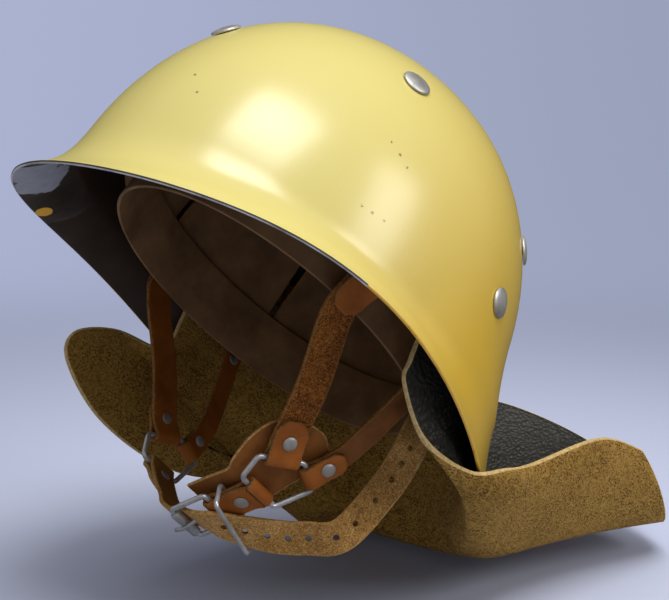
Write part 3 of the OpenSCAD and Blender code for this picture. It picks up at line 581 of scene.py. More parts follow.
def worn_visor():
    """Brown inside of the peak, with paint rubbed to grey and a dab of the outer colour near its rim."""
    n = material("worn_visor_inside")
    fine = n.noise(150, 4, 0.7)
    base = n.ramp(n.noise(30, 5, 0.7, 0.6), (0.35, (0.03, 0.021, 0.015)), (0.65, (0.075, 0.055, 0.042)))
    ragged = n.times(n.plus(n.noise(75, 6, 0.75, 0.5), -0.5), 1.9)
    one, two = (n.plus(n.spot(centre, r), ragged) for centre, r in BARE_PATCHES)
    grey = n.mix(fine, (0.22, 0.22, 0.23), (0.45, 0.45, 0.47))
    tone = n.mix(n.step(n.math("MAXIMUM", one, two), 0.38, 0.46), base, grey)
    dab = n.plus(n.spot(ORANGE_DAB, DAB_R), n.times(ragged, 0.6))
    return n.set(color=n.mix(n.step(dab, 0.4, 0.5), tone, (0.8, 0.4, 0.02)), rough=0.5,
                 normal=n.bump(fine, 0.35, 0.2))


def orange_edge():
    n = material("painted_rim_edge")
    worn = n.noise(70, 5, 0.7)
    tone = n.ramp(worn, (0.3, (0.3, 0.16, 0.03)), (0.4, (0.66, 0.36, 0.035)), (0.8, (0.75, 0.47, 0.09)))
    return n.set(color=tone, rough=0.35, coat=0.6, coat_rough=0.15, normal=n.bump(worn, 0.3, 0.2))


def metal(name, light, dark, rough, metal=1.0):
    n = material(name)
    cloud = n.noise(90, 5, 0.65)
    return n.set(color=n.ramp(cloud, (0.3, dark), (0.62, light)), metal=metal,
                 rough=n.plus(n.times(cloud, 0.25), rough - 0.1),
                 normal=n.bump(n.noise(700, 2, 0.5), 0.25, 0.06, n.bump(cloud, 0.25, 0.2)))


def suede(name, dark, mid, light):
    """Rough side of leather: a coarse nap with single fibres and rubbed places."""
    n = material(name)
    nap = n.noise(560, 5, 0.75, 0.9)
    fibre = n.noise(1500, 3, 0.75, 0.6)
    grain = n.total((n.noise(36, 4, 0.6, 0.4), 0.22), (nap, 0.3), (fibre, 0.48))
    return n.set(color=n.ramp(grain, (0.4, dark), (0.49, mid), (0.59, light)), rough=1.0, sheen=0.06,
                 sheen_rough=0.6, spec=0.02, normal=n.bump(fibre, 0.8, 0.45, n.bump(nap, 0.7, 0.7)))


def smooth_leather(name, dark, light, gloss=0.5, pore=900, lines=0.35):
    """Grain side of a strap: fine pores, faint creases and darker rubbed places."""
    n = material(name)
    crease = n.noise(190, 4, 0.7, 1.4)
    return n.set(color=n.ramp(n.noise(38, 4, 0.6), (0.3, dark), (0.68, light)),
                 rough=n.plus(n.times(crease, 0.2), gloss), spec=0.14,
                 normal=n.bump(n.cells(pore), 0.3, 0.12, n.bump(crease, lines, 0.3)))


def pebbled():
    """Dark pebbled hide, painted lighter brown on the tops of its pebbles in patches: rubbed wear and a
    painted highlight.
    """
    n = material("pebbled_guard_grain")
    drift = n.put("ShaderNodeTexNoise", {"Vector": n.where, "Scale": 60.0}).outputs["Color"]
    warp = n.put("ShaderNodeMixRGB", {"Fac": 0.008, "Color1": n.where, "Color2": drift}).outputs[0]
    pebble = n.cells(430, at=warp)
    rubbed = n.noise(75, 4, 0.6)
    base = n.ramp(n.noise(14, 4, 0.65), (0.3, (0.008, 0.0075, 0.006)), (0.7, (0.022, 0.019, 0.014)))
    # Painted highlight and rubbed wear: the pebble tops turn lighter brown where the patchy mask is high
    high = n.times(n.step(pebble, 0.38, 0.1), n.step(rubbed, 0.42, 0.66))
    return n.set(color=n.mix(high, base, (0.05, 0.045, 0.033)), rough=0.5, coat=0.05, coat_rough=0.4,
                 spec=0.4,
                 normal=n.bump(pebble, 0.9, -0.7, n.bump(rubbed, 0.15, 0.4)))


def hide(name, dark, mid, light):
    """Flesh side of the thick hide: short dark pores that run along it, over a golden nap."""
    n = material(name)
    run = n.put("ShaderNodeMapping", {"Vector": n.where, "Scale": (0.5, 0.62, 1.0)}).outputs[0]
    fine = n.noise(1300, 3, 0.75, at=run)
    tone = n.total((n.noise(18, 4, 0.6, 0.3), 0.25), (n.noise(420, 4, 0.7, 0.8, at=run), 0.35), (fine, 0.4))
    pores = n.times(n.step(n.cells(1050, at=run), 0.5, 0.2), 0.8)
    thin = n.step(n.noise(60, 3, 0.6), 0.3, 0.55)
    base = n.ramp(tone, (0.36, dark), (0.46, mid), (0.62, light))
    return n.set(color=n.mix(n.times(pores, thin), base, dark), rough=1.0, sheen=0.04, sheen_rough=0.6,
                 spec=0.02, normal=n.bump(fine, 0.5, 0.3, n.bump(pores, 0.8, -0.6)))


def cut_edge(name, dark, light):
    n = material(name)
    return n.set(color=n.ramp(n.noise(700, 5, 0.75), (0.36, dark), (0.62, light)), rough=0.95, spec=0.1,
                 normal=n.bump(n.noise(800, 3), 0.6, 0.3))


def cord():
    n = material("woven_lace")
    twist = n.put("ShaderNodeTexWave", {"Vector": n.where, "Scale": 420.0, "Distortion": 2.0},
                  bands_direction="DIAGONAL").outputs["Fac"]
    return n.set(color=n.ramp(twist, (0.2, (0.26, 0.21, 0.14)), (0.8, (0.5, 0.43, 0.31))), rough=0.9,
                 sheen=0.4, normal=n.bump(twist, 0.6, 0.3))


PAINT = paint()
INSIDE = inner_paint()
BARE_EDGE = bare_edge()
WORN = worn_visor()
ORANGE_EDGE = orange_edge()
RIVET = metal("worn_rivet_metal", (0.66, 0.66, 0.64), (0.38, 0.36, 0.33), 0.42, metal=0.75)
WIRE = metal("worn_nickel_wire", (0.8, 0.82, 0.88), (0.5, 0.5, 0.52), 0.3, metal=0.75)
HOOP = metal("liner_hoop_metal", (0.5, 0.5, 0.5), (0.28, 0.27, 0.26), 0.42)
RUST = suede("rust_suede", (0.04, 0.01, 0.001), (0.16, 0.05, 0.006), (0.42, 0.165, 0.026))
RUST_TAB = smooth_leather("orange_brown_tab", (0.19, 0.05, 0.006), (0.36, 0.11, 0.014), 0.5)
TAN = suede("tan_suede", (0.15, 0.068, 0.014), (0.34, 0.175, 0.046), (0.64, 0.38, 0.13))
TAN_BACK = smooth_leather("tan_strap_grain", (0.14, 0.052, 0.01), (0.3, 0.125, 0.026), 0.5)
DARK = smooth_leather("dark_brown_leather", (0.09, 0.03, 0.006), (0.22, 0.08, 0.016), 0.55)
PAD = smooth_leather("brown_pad_leather", (0.13, 0.044, 0.008), (0.27, 0.095, 0.018), 0.62, 700, 0.5)
LINER = smooth_leather("liner_leather", (0.08, 0.045, 0.02), (0.16, 0.09, 0.04), 0.55, 650, 0.5)
BAND = smooth_leather("sweatband_leather", (0.12, 0.062, 0.026), (0.24, 0.13, 0.055), 0.5, 800)
PEBBLE = pebbled()
KHAKI = hide("khaki_guard_suede", (0.06, 0.026, 0.004), (0.26, 0.14, 0.024), (0.45, 0.26, 0.06))
EDGE = cut_edge("cut_leather_edge", (0.33, 0.22, 0.08), (0.6, 0.44, 0.2))
EDGE_TAN = cut_edge("tan_cut_edge", (0.24, 0.12, 0.03), (0.52, 0.31, 0.11))
EDGE_DARK = cut_edge("dark_cut_edge", (0.13, 0.05, 0.013), (0.3, 0.14, 0.04))
LACE = cord()


# The shell

# Degrees to each side of the front over which the rim is worn bare and the peak's inside is rubbed
BARE_HALF, WORN_HALF = 74, 52
# Rings from the rim inward that the rubbed part covers, and half the thickness of the rim
WORN_RINGS, LIP = 12, SHELL_WALL / 2
# The shell's materials, in the order of its slots
PAINTED, BROWN, BARE, ORANGE, RUBBED = range(5)


def make_shell():
    around = 192
    angles = [360 * i / around for i in range(around)]
    levels = [min(1.0, 1.045 * sind(73.2 * i / 26)) for i in range(1, 27)]
    levels += [1 + i / 16 for i in range(1, 17)]
    verts = [skin(a, s) for s in levels for a in angles]
    for q in (35, 90, 145):
        for a in angles:
            n = skin_normal(a, 2)
            out = unit(skin(a, 2) - skin(a, 1.97))
            verts.append(skin(a, 2) - n * LIP + n * LIP * cosd(q) + out * 0.7 * sind(q))
    verts += [inset(a, s, SHELL_WALL) for s in reversed(levels) for a in angles]
    rim, inner = len(levels), len(levels) + 3
    faces, kinds = [], []
    for r in range(len(verts) // around - 1):
        for i in range(around):
            a, b = r * around + i, r * around + (i + 1) % around
            faces.append((a, a + around, b + around, b))
            from_front = min(angles[i], 360 - angles[i])
            if r < rim:
                kinds.append(PAINTED)
            elif r >= inner:
                kinds.append(RUBBED if r < inner + WORN_RINGS and from_front < WORN_HALF else BROWN)
            elif from_front < BARE_HALF:
                kinds.append(BROWN if r == rim else BARE)
            else:
                kinds.append(ORANGE)
    top, last = len(verts), len(verts) - around
    verts += [np.array([0, 0, DOME_HEIGHT]), np.array([0, 0, DOME_HEIGHT - SHELL_WALL])]
    for i in range(around):
        j = (i + 1) % around
        faces += [(top, i, j), (top + 1, last + j, last + i)]
        kinds += [PAINTED, BROWN]
    piece("helmet_shell", (verts, faces, kinds), "shell", "shell", "shell_paint",
          PAINT, INSIDE, BARE_EDGE, ORANGE_EDGE, WORN)


# The big rivets

BIG_PIN_R, WASHER_T = 2.0, 1.0
RISER_AT = SHELL_WALL + 0.9
CROWN_GRIP = RISER_AT + RISER_T + 0.6 + WASHER_T + 0.05
HANGER_AT = HIDE_AT + GUARD_T + 0.9
GUARD_GRIP = HANGER_AT + HANGER_T + 0.3 + WASHER_T + 0.05


def dome_profile(d, h, z, flat=0.5):
    """A domed head of diameter d and height h that stands on z."""
    r = d / 2
    pts = [(0, z), (r - 0.3, z), (r, z + 0.25), (r, z + flat)]
    pts += [(r * cosd(a), z + flat + (h - flat) * sind(a)) for a in (14, 28, 42, 56, 70, 82)]
    return pts + [(0, z + h)]


def tail_profile(depth):
    """A big rivet's pin, with its upset tail below depth."""
    r = BIG_PIN_R
    return [(0, -depth - 1.3), (r + 0.7, -depth - 1.25), (r + 1.5, -depth - 0.9), (r + 1.6, -depth - 0.3),
            (r + 1.2, -depth), (r, -depth), (r, 0.5), (0, 0.5)]


def washer_profile(r, top):
    bore, low = BIG_PIN_R + 0.05, -top - WASHER_T
    return [(bore, low), (r - 0.2, low), (r, low + 0.2), (r, -top - 0.2), (r - 0.2, -top), (bore, -top)]


def make_big_rivets():
    sides = [(a, SIDE_RIVET_Z) for a in GUARD_RIVETS]
    for name, places, grip, washer_r in (("crown", CROWN, CROWN_GRIP, 6), ("guard", sides, GUARD_GRIP, 5.5)):
        heads, washers = [], []
        for a, z in places:
            p, n = on_dome(a, z, 0), skin_normal(a, dome_s(z))
            for profile in (dome_profile(HEAD_D, HEAD_H, 0.12), tail_profile(grip)):
                heads.append(along_normal(lathe(profile), p, n))
            washers.append(along_normal(lathe(washer_profile(washer_r, grip - WASHER_T - 0.03)), p, n))
        piece(f"{name}_rivet_heads", joined(heads), "shell", f"{name}_rivets", "rivet_metal", RIVET)
        piece(f"{name}_washer_rings", joined(washers), "shell", f"{name}_washers", "rivet_metal", HOOP)


# The liner

def liner_dir(x, y):
    """Degrees from the front at which a place lies round the hoop's middle."""
    return math.degrees(math.atan2(x, HOOP_Y - y))


def hoop_at(d, direction):
    s, c = sind(direction), cosd(direction)
    r = 1 / math.hypot(s / (HOOP_SIDE + d), c / (HOOP_LONG + d))
    return np.array([r * s, HOOP_Y - r * c, 0])


def hoop_normal(direction):
    p = hoop_at(HOOP_T, direction)
    return unit([p[0] / HOOP_SIDE ** 2, (p[1] - HOOP_Y) / HOOP_LONG ** 2, 0])


def band(corners, soft):
    """A closed band round the liner: its section's corners are (offset from the hoop, height)."""
    around = 144
    section = rounded(corners, soft, 3)
    verts = []
    for i in range(around):
        a = 360 * i / around
        for d, z in section:
            verts.append(np.array([(HOOP_SIDE + d) * sind(a), HOOP_Y - (HOOP_LONG + d) * cosd(a), z]))
    return verts, [f[::-1] for f in rings(verts, len(section), True)]


HANGER_Z, HANGER_DIR = HOOP_Z + 12, liner_dir(HANG_X, FRONT_Y)
RISER_PIN = HOOP_Z + 10


def small_rivet(z0, z1):
    """A small rivet with a flat tail below z0 and a domed head above z1."""
    r, low = SMALL_HEAD_D / 2, z0 - 0.8
    tail = lathe([(0, low), (r - 0.8, low), (r - 0.5, low + 0.2), (r - 0.5, z0), (PIN_R, z0),
                  (PIN_R, z1 + 0.1), (0, z1 + 0.1)], 28)
    return joined([tail, lathe(dome_profile(SMALL_HEAD_D, 1.5, z1, 0.35), 32)])


def make_liner():
    top = HOOP_Z + HOOP_H
    hoop = band([(0, HOOP_Z), (HOOP_T, HOOP_Z), (HOOP_T, top), (0, top)], 0.3)
    piece("hoop_band", hoop, "shell", "liner_hoop", "hoop_metal", HOOP)
    webs, pins = [], []
    for i, (a, z) in enumerate(CROWN):
        n = skin_normal(a, dome_s(z))
        p = on_dome(a, z, RISER_AT + RISER_T / 2)
        side = level(n)
        up = np.cross(n, side)
        d = liner_dir(p[0], p[1])
        h, hn = hoop_at(HOOP_T + RISER_T / 2 + 0.15, d), hoop_normal(d)
        rows = [h + [0, 0, HOOP_Z + 4.6], h + [0, 0, HOOP_Z + 12], h + [0, 0, top] + 0.5 * hn,
                h + [0, 0, top + 9] + 1.8 * hn, p - 24 * up - 5.5 * n, p - 11 * up - 1.1 * n, p,
                p + 10 * up - 0.8 * n]
        webs.append(strap(rows, [level(hn)] * 4 + [side] * 4, RISER_W, RISER_T, 2.0, ends=(2, 3), seed=i))
        pin = small_rivet(-HOOP_T - 0.2, RISER_T + 0.3)
        pins.append(along_normal(pin, hoop_at(HOOP_T, d) + [0, 0, RISER_PIN], hn))
    piece("crown_webs", joined(webs), "shell", "crown_straps", "liner_leather", LINER, LINER, EDGE_DARK)
    piece("hoop_rivet_set", joined(pins), "shell", "hoop_rivets", "rivet_metal", RIVET)
    make_leaves()
    make_sweatband()


# Radius of the opening that the leaves leave at the crown, and of the circle of their lace holes
LACE_R = 17
LACE_AT = LACE_R + 9


def leaf_pt(a, v):
    """The leaves' surface: v is 0 at the hoop and 1 at the tips."""
    h = hoop_at(-LEAF_IN - LEAF_T / 2, a)
    foot, tip = HOOP_Z + 8, LACE_R + 3
    r = max(0.0, cosd(90 * v)) ** 0.85
    rise = max(0.0, sind(90 * v)) ** 0.95
    return np.array([h[0] * r + tip * sind(a) * (1 - r),
                     (h[1] - HOOP_Y) * r - tip * cosd(a) * (1 - r) + HOOP_Y, foot + (CROWN_Z - foot) * rise])


def make_leaves():
    parts, holes = [], []
    for k in range(6):
        mid = 30 + 60 * k
        grid = []
        for i in range(-12, 13):
            u = i / 12
            col = []
            for j in range(33):
                v = j / 32
                half = 28.5 - 8 * v * v - 9 * max(0, v - 0.7)
                p = leaf_pt(mid + half * u, v)
                sag = 0.5 * math.sin(math.pi * v) * math.cos(math.pi * u / 2)
                ripple = 0.25 * noise.noise(Vector((p[0] * 0.06, p[1] * 0.06, k * 3.1)))
                col.append(p + [0, 0, ripple - sag])
            grid.append(col)
        parts.append(thick(grid, LEAF_T))
        for a in (mid - 9, mid + 9):
            c = np.array([LACE_AT * sind(a), HOOP_Y - LACE_AT * cosd(a), CROWN_Z])
            verts, faces = plug(1.9, 6, 18)
            holes.append(([v + c for v in verts], faces))
    leaves = piece("liner_leather_leaves", joined(parts), "shell", "liner_leaves", "liner_leather",
                   LINER, BAND, EDGE_DARK)
    cut(leaves, holes)
    path = []
    for t in np.linspace(0, 2 * math.pi, 169)[:-1]:
        r = LACE_AT + 0.25 * math.sin(9 * t)
        path.append([r * math.sin(t), HOOP_Y - r * math.cos(t), CROWN_Z + 2.05 + 0.12 * math.sin(5 * t)])
    piece("crown_lace_cord", wire(path, 1.2, 12), "shell", "crown_lace", "lace", LACE)


def make_sweatband():
    """A leather band inside the leaves, with a shelf and lip that hold the hoop's foot."""
    inside = -LEAF_IN - LEAF_T - 0.6 - BAND_T
    wall, lip = inside + BAND_T, HOOP_T + 0.1
    low, top = HOOP_Z - BAND_T - 0.2, HOOP_Z + 13
    out, shelf = lip + BAND_T, low + BAND_T
    corners = [(inside, top - BAND_H), (wall, top - BAND_H), (wall, low), (out, low), (out, low + 5.5),
               (lip, low + 5.5), (lip, shelf), (wall, shelf), (wall, top), (inside, top)]
    piece("sweatband_leather_band", band(corners, 0.55), "shell", "sweatband", "liner_leather", BAND)


# The side harness

def leaned(angle):
    """Directions down along and outward from a strap that leans in by an angle."""
    return np.array([-sind(angle), 0, -cosd(angle)]), np.array([cosd(angle), 0, -sind(angle)])


ORIGIN, BACK = np.array([HANG_X, 0, HANG_Z], float), np.array([0, 1.0, 0])
DOWN, OUT = leaned(HARNESS_LEAN)
CHIN_O = ORIGIN + HARNESS_DROP * DOWN
CHIN_DOWN, CHIN_OUT = leaned(CHIN_LEAN)


def side_pt(q, y, n=0.0):
    """A place on a harness side: down from the loops, to the rear and outward."""
    return ORIGIN + q * DOWN + y * BACK + n * OUT


def chin_pt(p, y, n=0.0):
    """A place on the chin tab: down from the ring's foot, to the rear and outward."""
    return CHIN_O + p * CHIN_DOWN + y * BACK + n * CHIN_OUT


RING = [np.array(c, float) for c in (
    (HARNESS_DROP - 12.5, 5), (HARNESS_DROP - 24, 25), (HARNESS_DROP - 18.5, 39), (HARNESS_DROP, 30.5),
    (HARNESS_DROP, 7))]


def seat(a, b):
    """Middle of a ring side and the direction in which a strap comes to it."""
    d = b - a
    return (a + b) / 2, unit([d[1], -d[0]])


FRONT_END, FRONT_DIR = seat(RING[0], RING[1])
REAR_END, REAR_DIR = seat(RING[1], RING[2])
FRONT_PIN, REAR_PIN = FRONT_END - 9 * FRONT_DIR, REAR_END - 9 * REAR_DIR
# A strap's way from loop to ring: (down the side, to the rear, how far its width has turned to the ring)
FRONT_KNEE = ((15, FRONT_Y + 0.4, 0.06), (24, FRONT_Y + 4.5, 0.4), (38, FRONT_Y + 13.5, 0.85),
              (52, FRONT_Y + 21.5, 1.0))
REAR_KNEE = ((22, REAR_Y + 0.1, 0.05), (42, REAR_Y + 0.3, 0.3), (58, REAR_Y - 0.3, 0.75))
# Middle of a strap as it turns round a wire, and of each leaf where it is folded on itself
TURN_R, LEAF = WIRE_R + PLAY + STRAP_T / 2, STRAP_T / 2 + 0.06
HANGER_W = 11
# Room for the chin pad under the left front strap's rivet, and how far below a strap its rivet's tail starts
PAD_ROOM, TAIL_GAP = 2.4 + PAD_T, 0.15


def turned(first, last, step, at=0):
    """Section of a strap's turn round a wire: (distance along the strap, outward)."""
    return [(at + TURN_R * cosd(a), TURN_R * sind(a)) for a in range(first, last, step)]


def fold(tab, run):
    """Section of a strap's end folded round a wire, from the end of its tab."""
    return [(tab, LEAF), (run, LEAF), (5, LEAF + 0.35), *turned(60, 301, 40), (5, -LEAF - 0.35), (run, -LEAF)]


def harness_strap(y, end, direction, knee, tab_top, tab_low):
    """Path of a strap from its top tab over the loop, down, round the ring and up its tab."""
    across = np.array([-direction[1], direction[0]])
    rows = [(q, y, n, 0) for q, n in fold(tab_top, 9)] + [(q, at, -LEAF, turn) for q, at, turn in knee]
    rows += [(*(end - back * direction), n, 1) for back, n in reversed(fold(tab_low, 11))]
    sides = [turn * across[0] * DOWN + (1 - turn + turn * across[1]) * BACK for _, _, _, turn in rows]
    return [side_pt(q, at, n) for q, at, n, _ in rows], sides


def side_piece(side, name, part, body, node, slot, *mats):
    """A piece of the left or right harness; each is built on the left."""
    piece(f"{side}_{name}", mirrored(part) if side == "right" else part, body, node, slot, *mats)


def make_harness():
    under = -STRAP_T - TAIL_GAP
    for side in ("left", "right"):
        body = f"{side}_harness"
        path, across = harness_strap(FRONT_Y, FRONT_END, FRONT_DIR, FRONT_KNEE, 17.5, 19.5)
        side_piece(side, "front_suede_strap", strap(path, across, STRAP_W, STRAP_T, ends=(7.5, 7.5), seed=3),
                   body, f"{side}_front_strap", "rust_leather", RUST, RUST_TAB, EDGE_DARK)
        path, across = harness_strap(REAR_Y, REAR_END, REAR_DIR, REAR_KNEE, 16.5, 18.5)
        side_piece(side, "rear_leather_strap", strap(path, across, REAR_W, STRAP_T, ends=(5, 5), seed=8),
                   body, f"{side}_rear_strap", "hanger_leather", DARK, RUST_TAB, EDGE_DARK)
        ring = [side_pt(q[0], q[1]) for q in rounded(RING, 3.0, 8)]
        side_piece(side, "ring_wire", wire(dense(ring), WIRE_R, 16), body, f"{side}_ring", "wire", WIRE)
        pad = PAD_ROOM if side == "left" else 0
        pins = [placed(small_rivet(z, STRAP_T + 0.1), side_pt(*q), DOWN, BACK, OUT)
                for q, z in ((FRONT_PIN, under - pad), (REAR_PIN, under), ((11, REAR_Y), under))]
        node = "strap_rivets" if side == "left" else "strap_rivets_right"
        side_piece(side, "strap_rivet_set", joined(pins), body, node, "rivet_metal", RIVET)
        make_loops(side)
        make_hangers(side)


def make_loops(side):
    parts = []
    for y, w in ((FRONT_Y, STRAP_W), (REAR_Y, REAR_W)):
        h = w / 2 + 2
        flat = rounded([(0, -h), (LOOP_H, -h), (LOOP_H, h), (0, h)], 1.8, 6)
        parts.append(wire(dense([ORIGIN + [0, y + q[1], q[0]] for q in flat]), WIRE_R))
    side_piece(side, "wire_loops", joined(parts), "shell", f"{side}_loops", "wire", WIRE)


def hanger(rows, across, bar, hand, end, seed):
    """A hanger that runs down the rows, turns round a loop's bar and comes up along end."""
    r = WIRE_R + PLAY + HANGER_T / 2
    turn = [bar + [hand * r * cosd(a), 0, r * sind(a)] for a in range(20, -201, -40)]
    turn += [bar + [hand * x, 0, z] for x, z in end]
    sides = [across] * (len(rows) - 1) + [BACK] * (len(turn) + 1)
    return strap(rows + turn, sides, HANGER_W, HANGER_T, 1.2, ends=(4, 3), seed=seed)


def make_hangers(side):
    a = GUARD_RIVETS[0]
    n = skin_normal(a, dome_s(SIDE_RIVET_Z))
    top = on_dome(a, SIDE_RIVET_Z, HANGER_AT + HANGER_T / 2)
    up = np.cross(n, level(n))
    bar = ORIGIN + [0, REAR_Y, LOOP_H]
    rows = [top + 8 * up, top, top - 9 * up, bar + [1, 0, 8]]
    rear = hanger(rows, level(n), bar, 1, ((-1.6, 4), (-1, 7), (-1, 10)), 5)
    hp = hoop_at(HOOP_T + HANGER_T / 2 + 0.25, HANGER_DIR)
    hn = hoop_normal(HANGER_DIR)
    rows = [hp + [0, 0, HANGER_Z + 7], hp + [0, 0, HANGER_Z], hp + [0.8, 0, HANGER_Z - 5]]
    front = hanger(rows, level(hn), ORIGIN + [0, FRONT_Y, LOOP_H], -1, ((-1.8, 3.4), (-0.1, 6), (1.3, 8)), 6)
    side_piece(side, "leather_hangers", joined([rear, front]), "shell", f"{side}_hangers", "hanger_leather",
               DARK, DARK, EDGE_DARK)
    pin = small_rivet(-HOOP_T - 0.2, HANGER_T + 0.9)
    pin = along_normal(pin, hoop_at(HOOP_T, HANGER_DIR) + [0, 0, HANGER_Z], hn)
    node = "hanger_rivets" if side == "left" else ""
    side_piece(side, "hanger_rivet", pin, "shell", node, "rivet_metal", RIVET)


def make_pad():
    out = WIRE_R + PLAY + STRAP_T + 0.4 + PAD_T / 2
    rows = [[side_pt(HARNESS_DROP - q, y, -out) for q, y in row] for row in (
        ((37, 11), (39, 24), (35, 33)), ((28, 1), (28, 18), (25, 34)),
        ((16, -2), (16, 16), (14, 31)), ((3, 0), (3, 15), (3, 28)))]
    rows += [[chin_pt(p, y, -out - n) for y in row] for p, n, row in (
        (6, 0.3, (3.5, 14, 25)), (20, 2, (4.5, 13, 22)), (33, 4, (6, 12, 19)))]
    rows = np.array(rows)
    grid = []
    for i in range(73):
        a, b, c = bend(rows, i / 12)
        wide = np.array([2 * a - b, a, b, c, 2 * c - b])
        line = [bend(wide, 1 + j / 12) for j in range(25)]
        grid.append([p + OUT * 0.35 * noise.noise(Vector((p[1] * 0.07, p[2] * 0.07, 4.2))) for p in line])
    pad = piece("left_chin_pad_leather", thick(grid, PAD_T), None, "left_chin_pad", "pad_leather",
                PAD, PAD, EDGE_TAN)
    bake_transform(pad)


# The chin tab, buckle and keeper

TAB_W, FRAME_W = STRAP_W - 1, STRAP_W + 4.8
SLOT_W, SLOT_L = 4.2, 9
# How much narrower the tab and the long strap are than the wires they pass through leave room for
EASE = 0.5
KEEPER_LOW, KEEPER_HIGH, KEEPER_AT, KEEPER_TURN = STRAP_T + WIRE_R + 0.2, 8.9, 17, 13


def chin_pin(below, above):
    """A rivet through both leaves of a fold under the ring, with gaps to its tail and head."""
    pin = small_rivet(-STRAP_T - below, STRAP_T + above)
    return placed(pin, chin_pt(9, MID_Y), CHIN_DOWN, BACK, CHIN_OUT)


def make_chin():
    """The tab folded round the ring's foot and the buckle's bar, with the buckle and what moves on it."""
    leaf = [(5, -LEAF - 0.3), (9, -LEAF), (14, -LEAF), (18, -LEAF - 0.3)]
    rows = turned(90, 271, 30) + leaf + turned(-90, 91, 30, BAR_AT)
    rows += [(p, -n) for p, n in reversed(leaf)] + [(0.6, TURN_R)]
    path = [chin_pt(p, MID_Y, n) for p, n in rows]
    tab = strap(path, [BACK] * len(path), TAB_W - EASE, STRAP_T, 1.2, wander=0.06, seed=11)
    tab = piece("chin_tab_leather", tab, "chin_tab", "chin_tab", "rust_leather",
                RUST_TAB, RUST_TAB, EDGE_DARK)
    slot = [chin_pt(BAR_AT - 3.2 + x, MID_Y + y, z)
            for x in (0, SLOT_L) for y in (-SLOT_W / 2, SLOT_W / 2) for z in (-8, 8)]
    cut(tab, [(slot, [(0, 1, 3, 2), (4, 6, 7, 5), (0, 4, 5, 1), (2, 3, 7, 6), (0, 2, 6, 4), (1, 5, 7, 3)])])
    piece("chin_tab_rivet_set", chin_pin(TAIL_GAP, 0.1), "chin_tab", "chin_tab_rivet", "rivet_metal", RIVET)
    h = FRAME_W / 2
    flat = rounded([(0, -h), (BUCKLE_L, -h), (BUCKLE_L, h), (0, h)], 2.2, 7)
    ring = dense([chin_pt(BAR_AT + q[0], MID_Y + q[1]) for q in flat])
    piece("buckle_wire_frame", wire(ring, WIRE_R, 16), "buckle", "buckle_frame", "wire", WIRE)
    end, bore = h - 2.4, WIRE_R + 0.08
    roller = lathe([(bore, -end), (ROLLER_R - 0.3, -end), (ROLLER_R, 0.3 - end), (ROLLER_R, end - 0.3),
                    (ROLLER_R - 0.3, end), (bore, end)], 32)
    roller = placed(roller, chin_pt(BAR_AT + BUCKLE_L, MID_Y), CHIN_OUT, CHIN_DOWN, BACK)
    piece("buckle_roller_tube", roller, "roller", "buckle_roller", "wire", WIRE)
    make_prong()
    make_keeper()


def make_prong():
    path = [chin_pt(BAR_AT + x, MID_Y, z) for x, z in (
        (2.2, 0), (10, -0.4), (15, 2), (BUCKLE_L, ROLLER_R + 1.15), (BUCKLE_L + 5.5, 2))]
    parts = [wire(even(path, path, 0.7)[0], 1.0, 12, closed=False)]
    eye = [chin_pt(BAR_AT + 2.1 * cosd(a), MID_Y, 2.1 * sind(a)) for a in range(0, 360, 12)]
    parts += [wire([p + BACK * off for p in eye], 0.72, 10) for off in (-0.9, 0.9)]
    piece("buckle_prong_wire", joined(parts), "prong", "buckle_prong", "wire", WIRE)


def make_keeper():
    """The flat wire loop, turned a little about the tab's normal."""
    flat = rounded([(-KEEPER_LOW, -10), (KEEPER_HIGH, -10), (KEEPER_HIGH + 2.5, 24), (-KEEPER_LOW, 22)], 2, 7)
    ring = [chin_pt(KEEPER_AT + y * sind(KEEPER_TURN), MID_Y + y * cosd(KEEPER_TURN), z) for z, y in flat]
    piece("keeper_wire_loop", wire(dense(ring), WIRE_R - 0.2), "keeper", "strap_keeper", "wire", WIRE)


# The long chin strap

def chin_route():
    """Path of the long strap, and the directions of its width."""
    m, leaf = MID_Y, STRAP_T / 2 + 0.1
    rows = [(19, leaf), (11, leaf), (5, leaf + 0.3), *turned(60, 301, 40)]
    rows += [(5, -leaf - 0.3), (12, -leaf), (22, -leaf), (31, -leaf - 0.7)]
    route = [chin_pt(p, m, n) * FLIP for p, n in rows]
    route += [np.array([-10.5, m, CHIN_O[2] - 19]), np.array([-3.5, m, CHIN_O[2] - 21])]
    route += [chin_pt(p, y, n) for p, y, n in (
        (47, m, -4.8), (43.5, m, -4.4), (40.3, m, -2.8), (37.6, m, -0.2), (34.4, m, 2.2),
        (30.5, m + 0.4, 4.4), (25.5, m + 3.5, 5.6), (19, m + 12, 5.6), (8, m + 25, 5), (-3, m + 33, 4.6),
        (-18, m + 41, 3))]
    route += [(63.5, 64, -62), (66, 63, -46), (67.3, 61, -35), (67.8, 60, -26)]
    sides = [(0, 1, 0)] * 21 + [(-0.06, 1, -0.04), (-0.35, 1, -0.25), (-0.35, 0.8, -0.5), (-0.1, 0.7, -0.7),
                                (0.1, 0.75, -0.6), (0.35, 0.87, -0.35), (0.45, 0.87, -0.1), (0.5, 0.83, 0.08),
                                (0.5, 0.83, 0.1), (0.5, 0.83, 0.1)]
    return np.array(route), np.array(sides, float)


# Places of the punched holes, counted in points of the strap's path
HOLES_AT = (22.35, 23.15, 23.75, 24.4, 25.1, 25.85, 26.3, 26.75, 27.3, 27.9, 28.6)


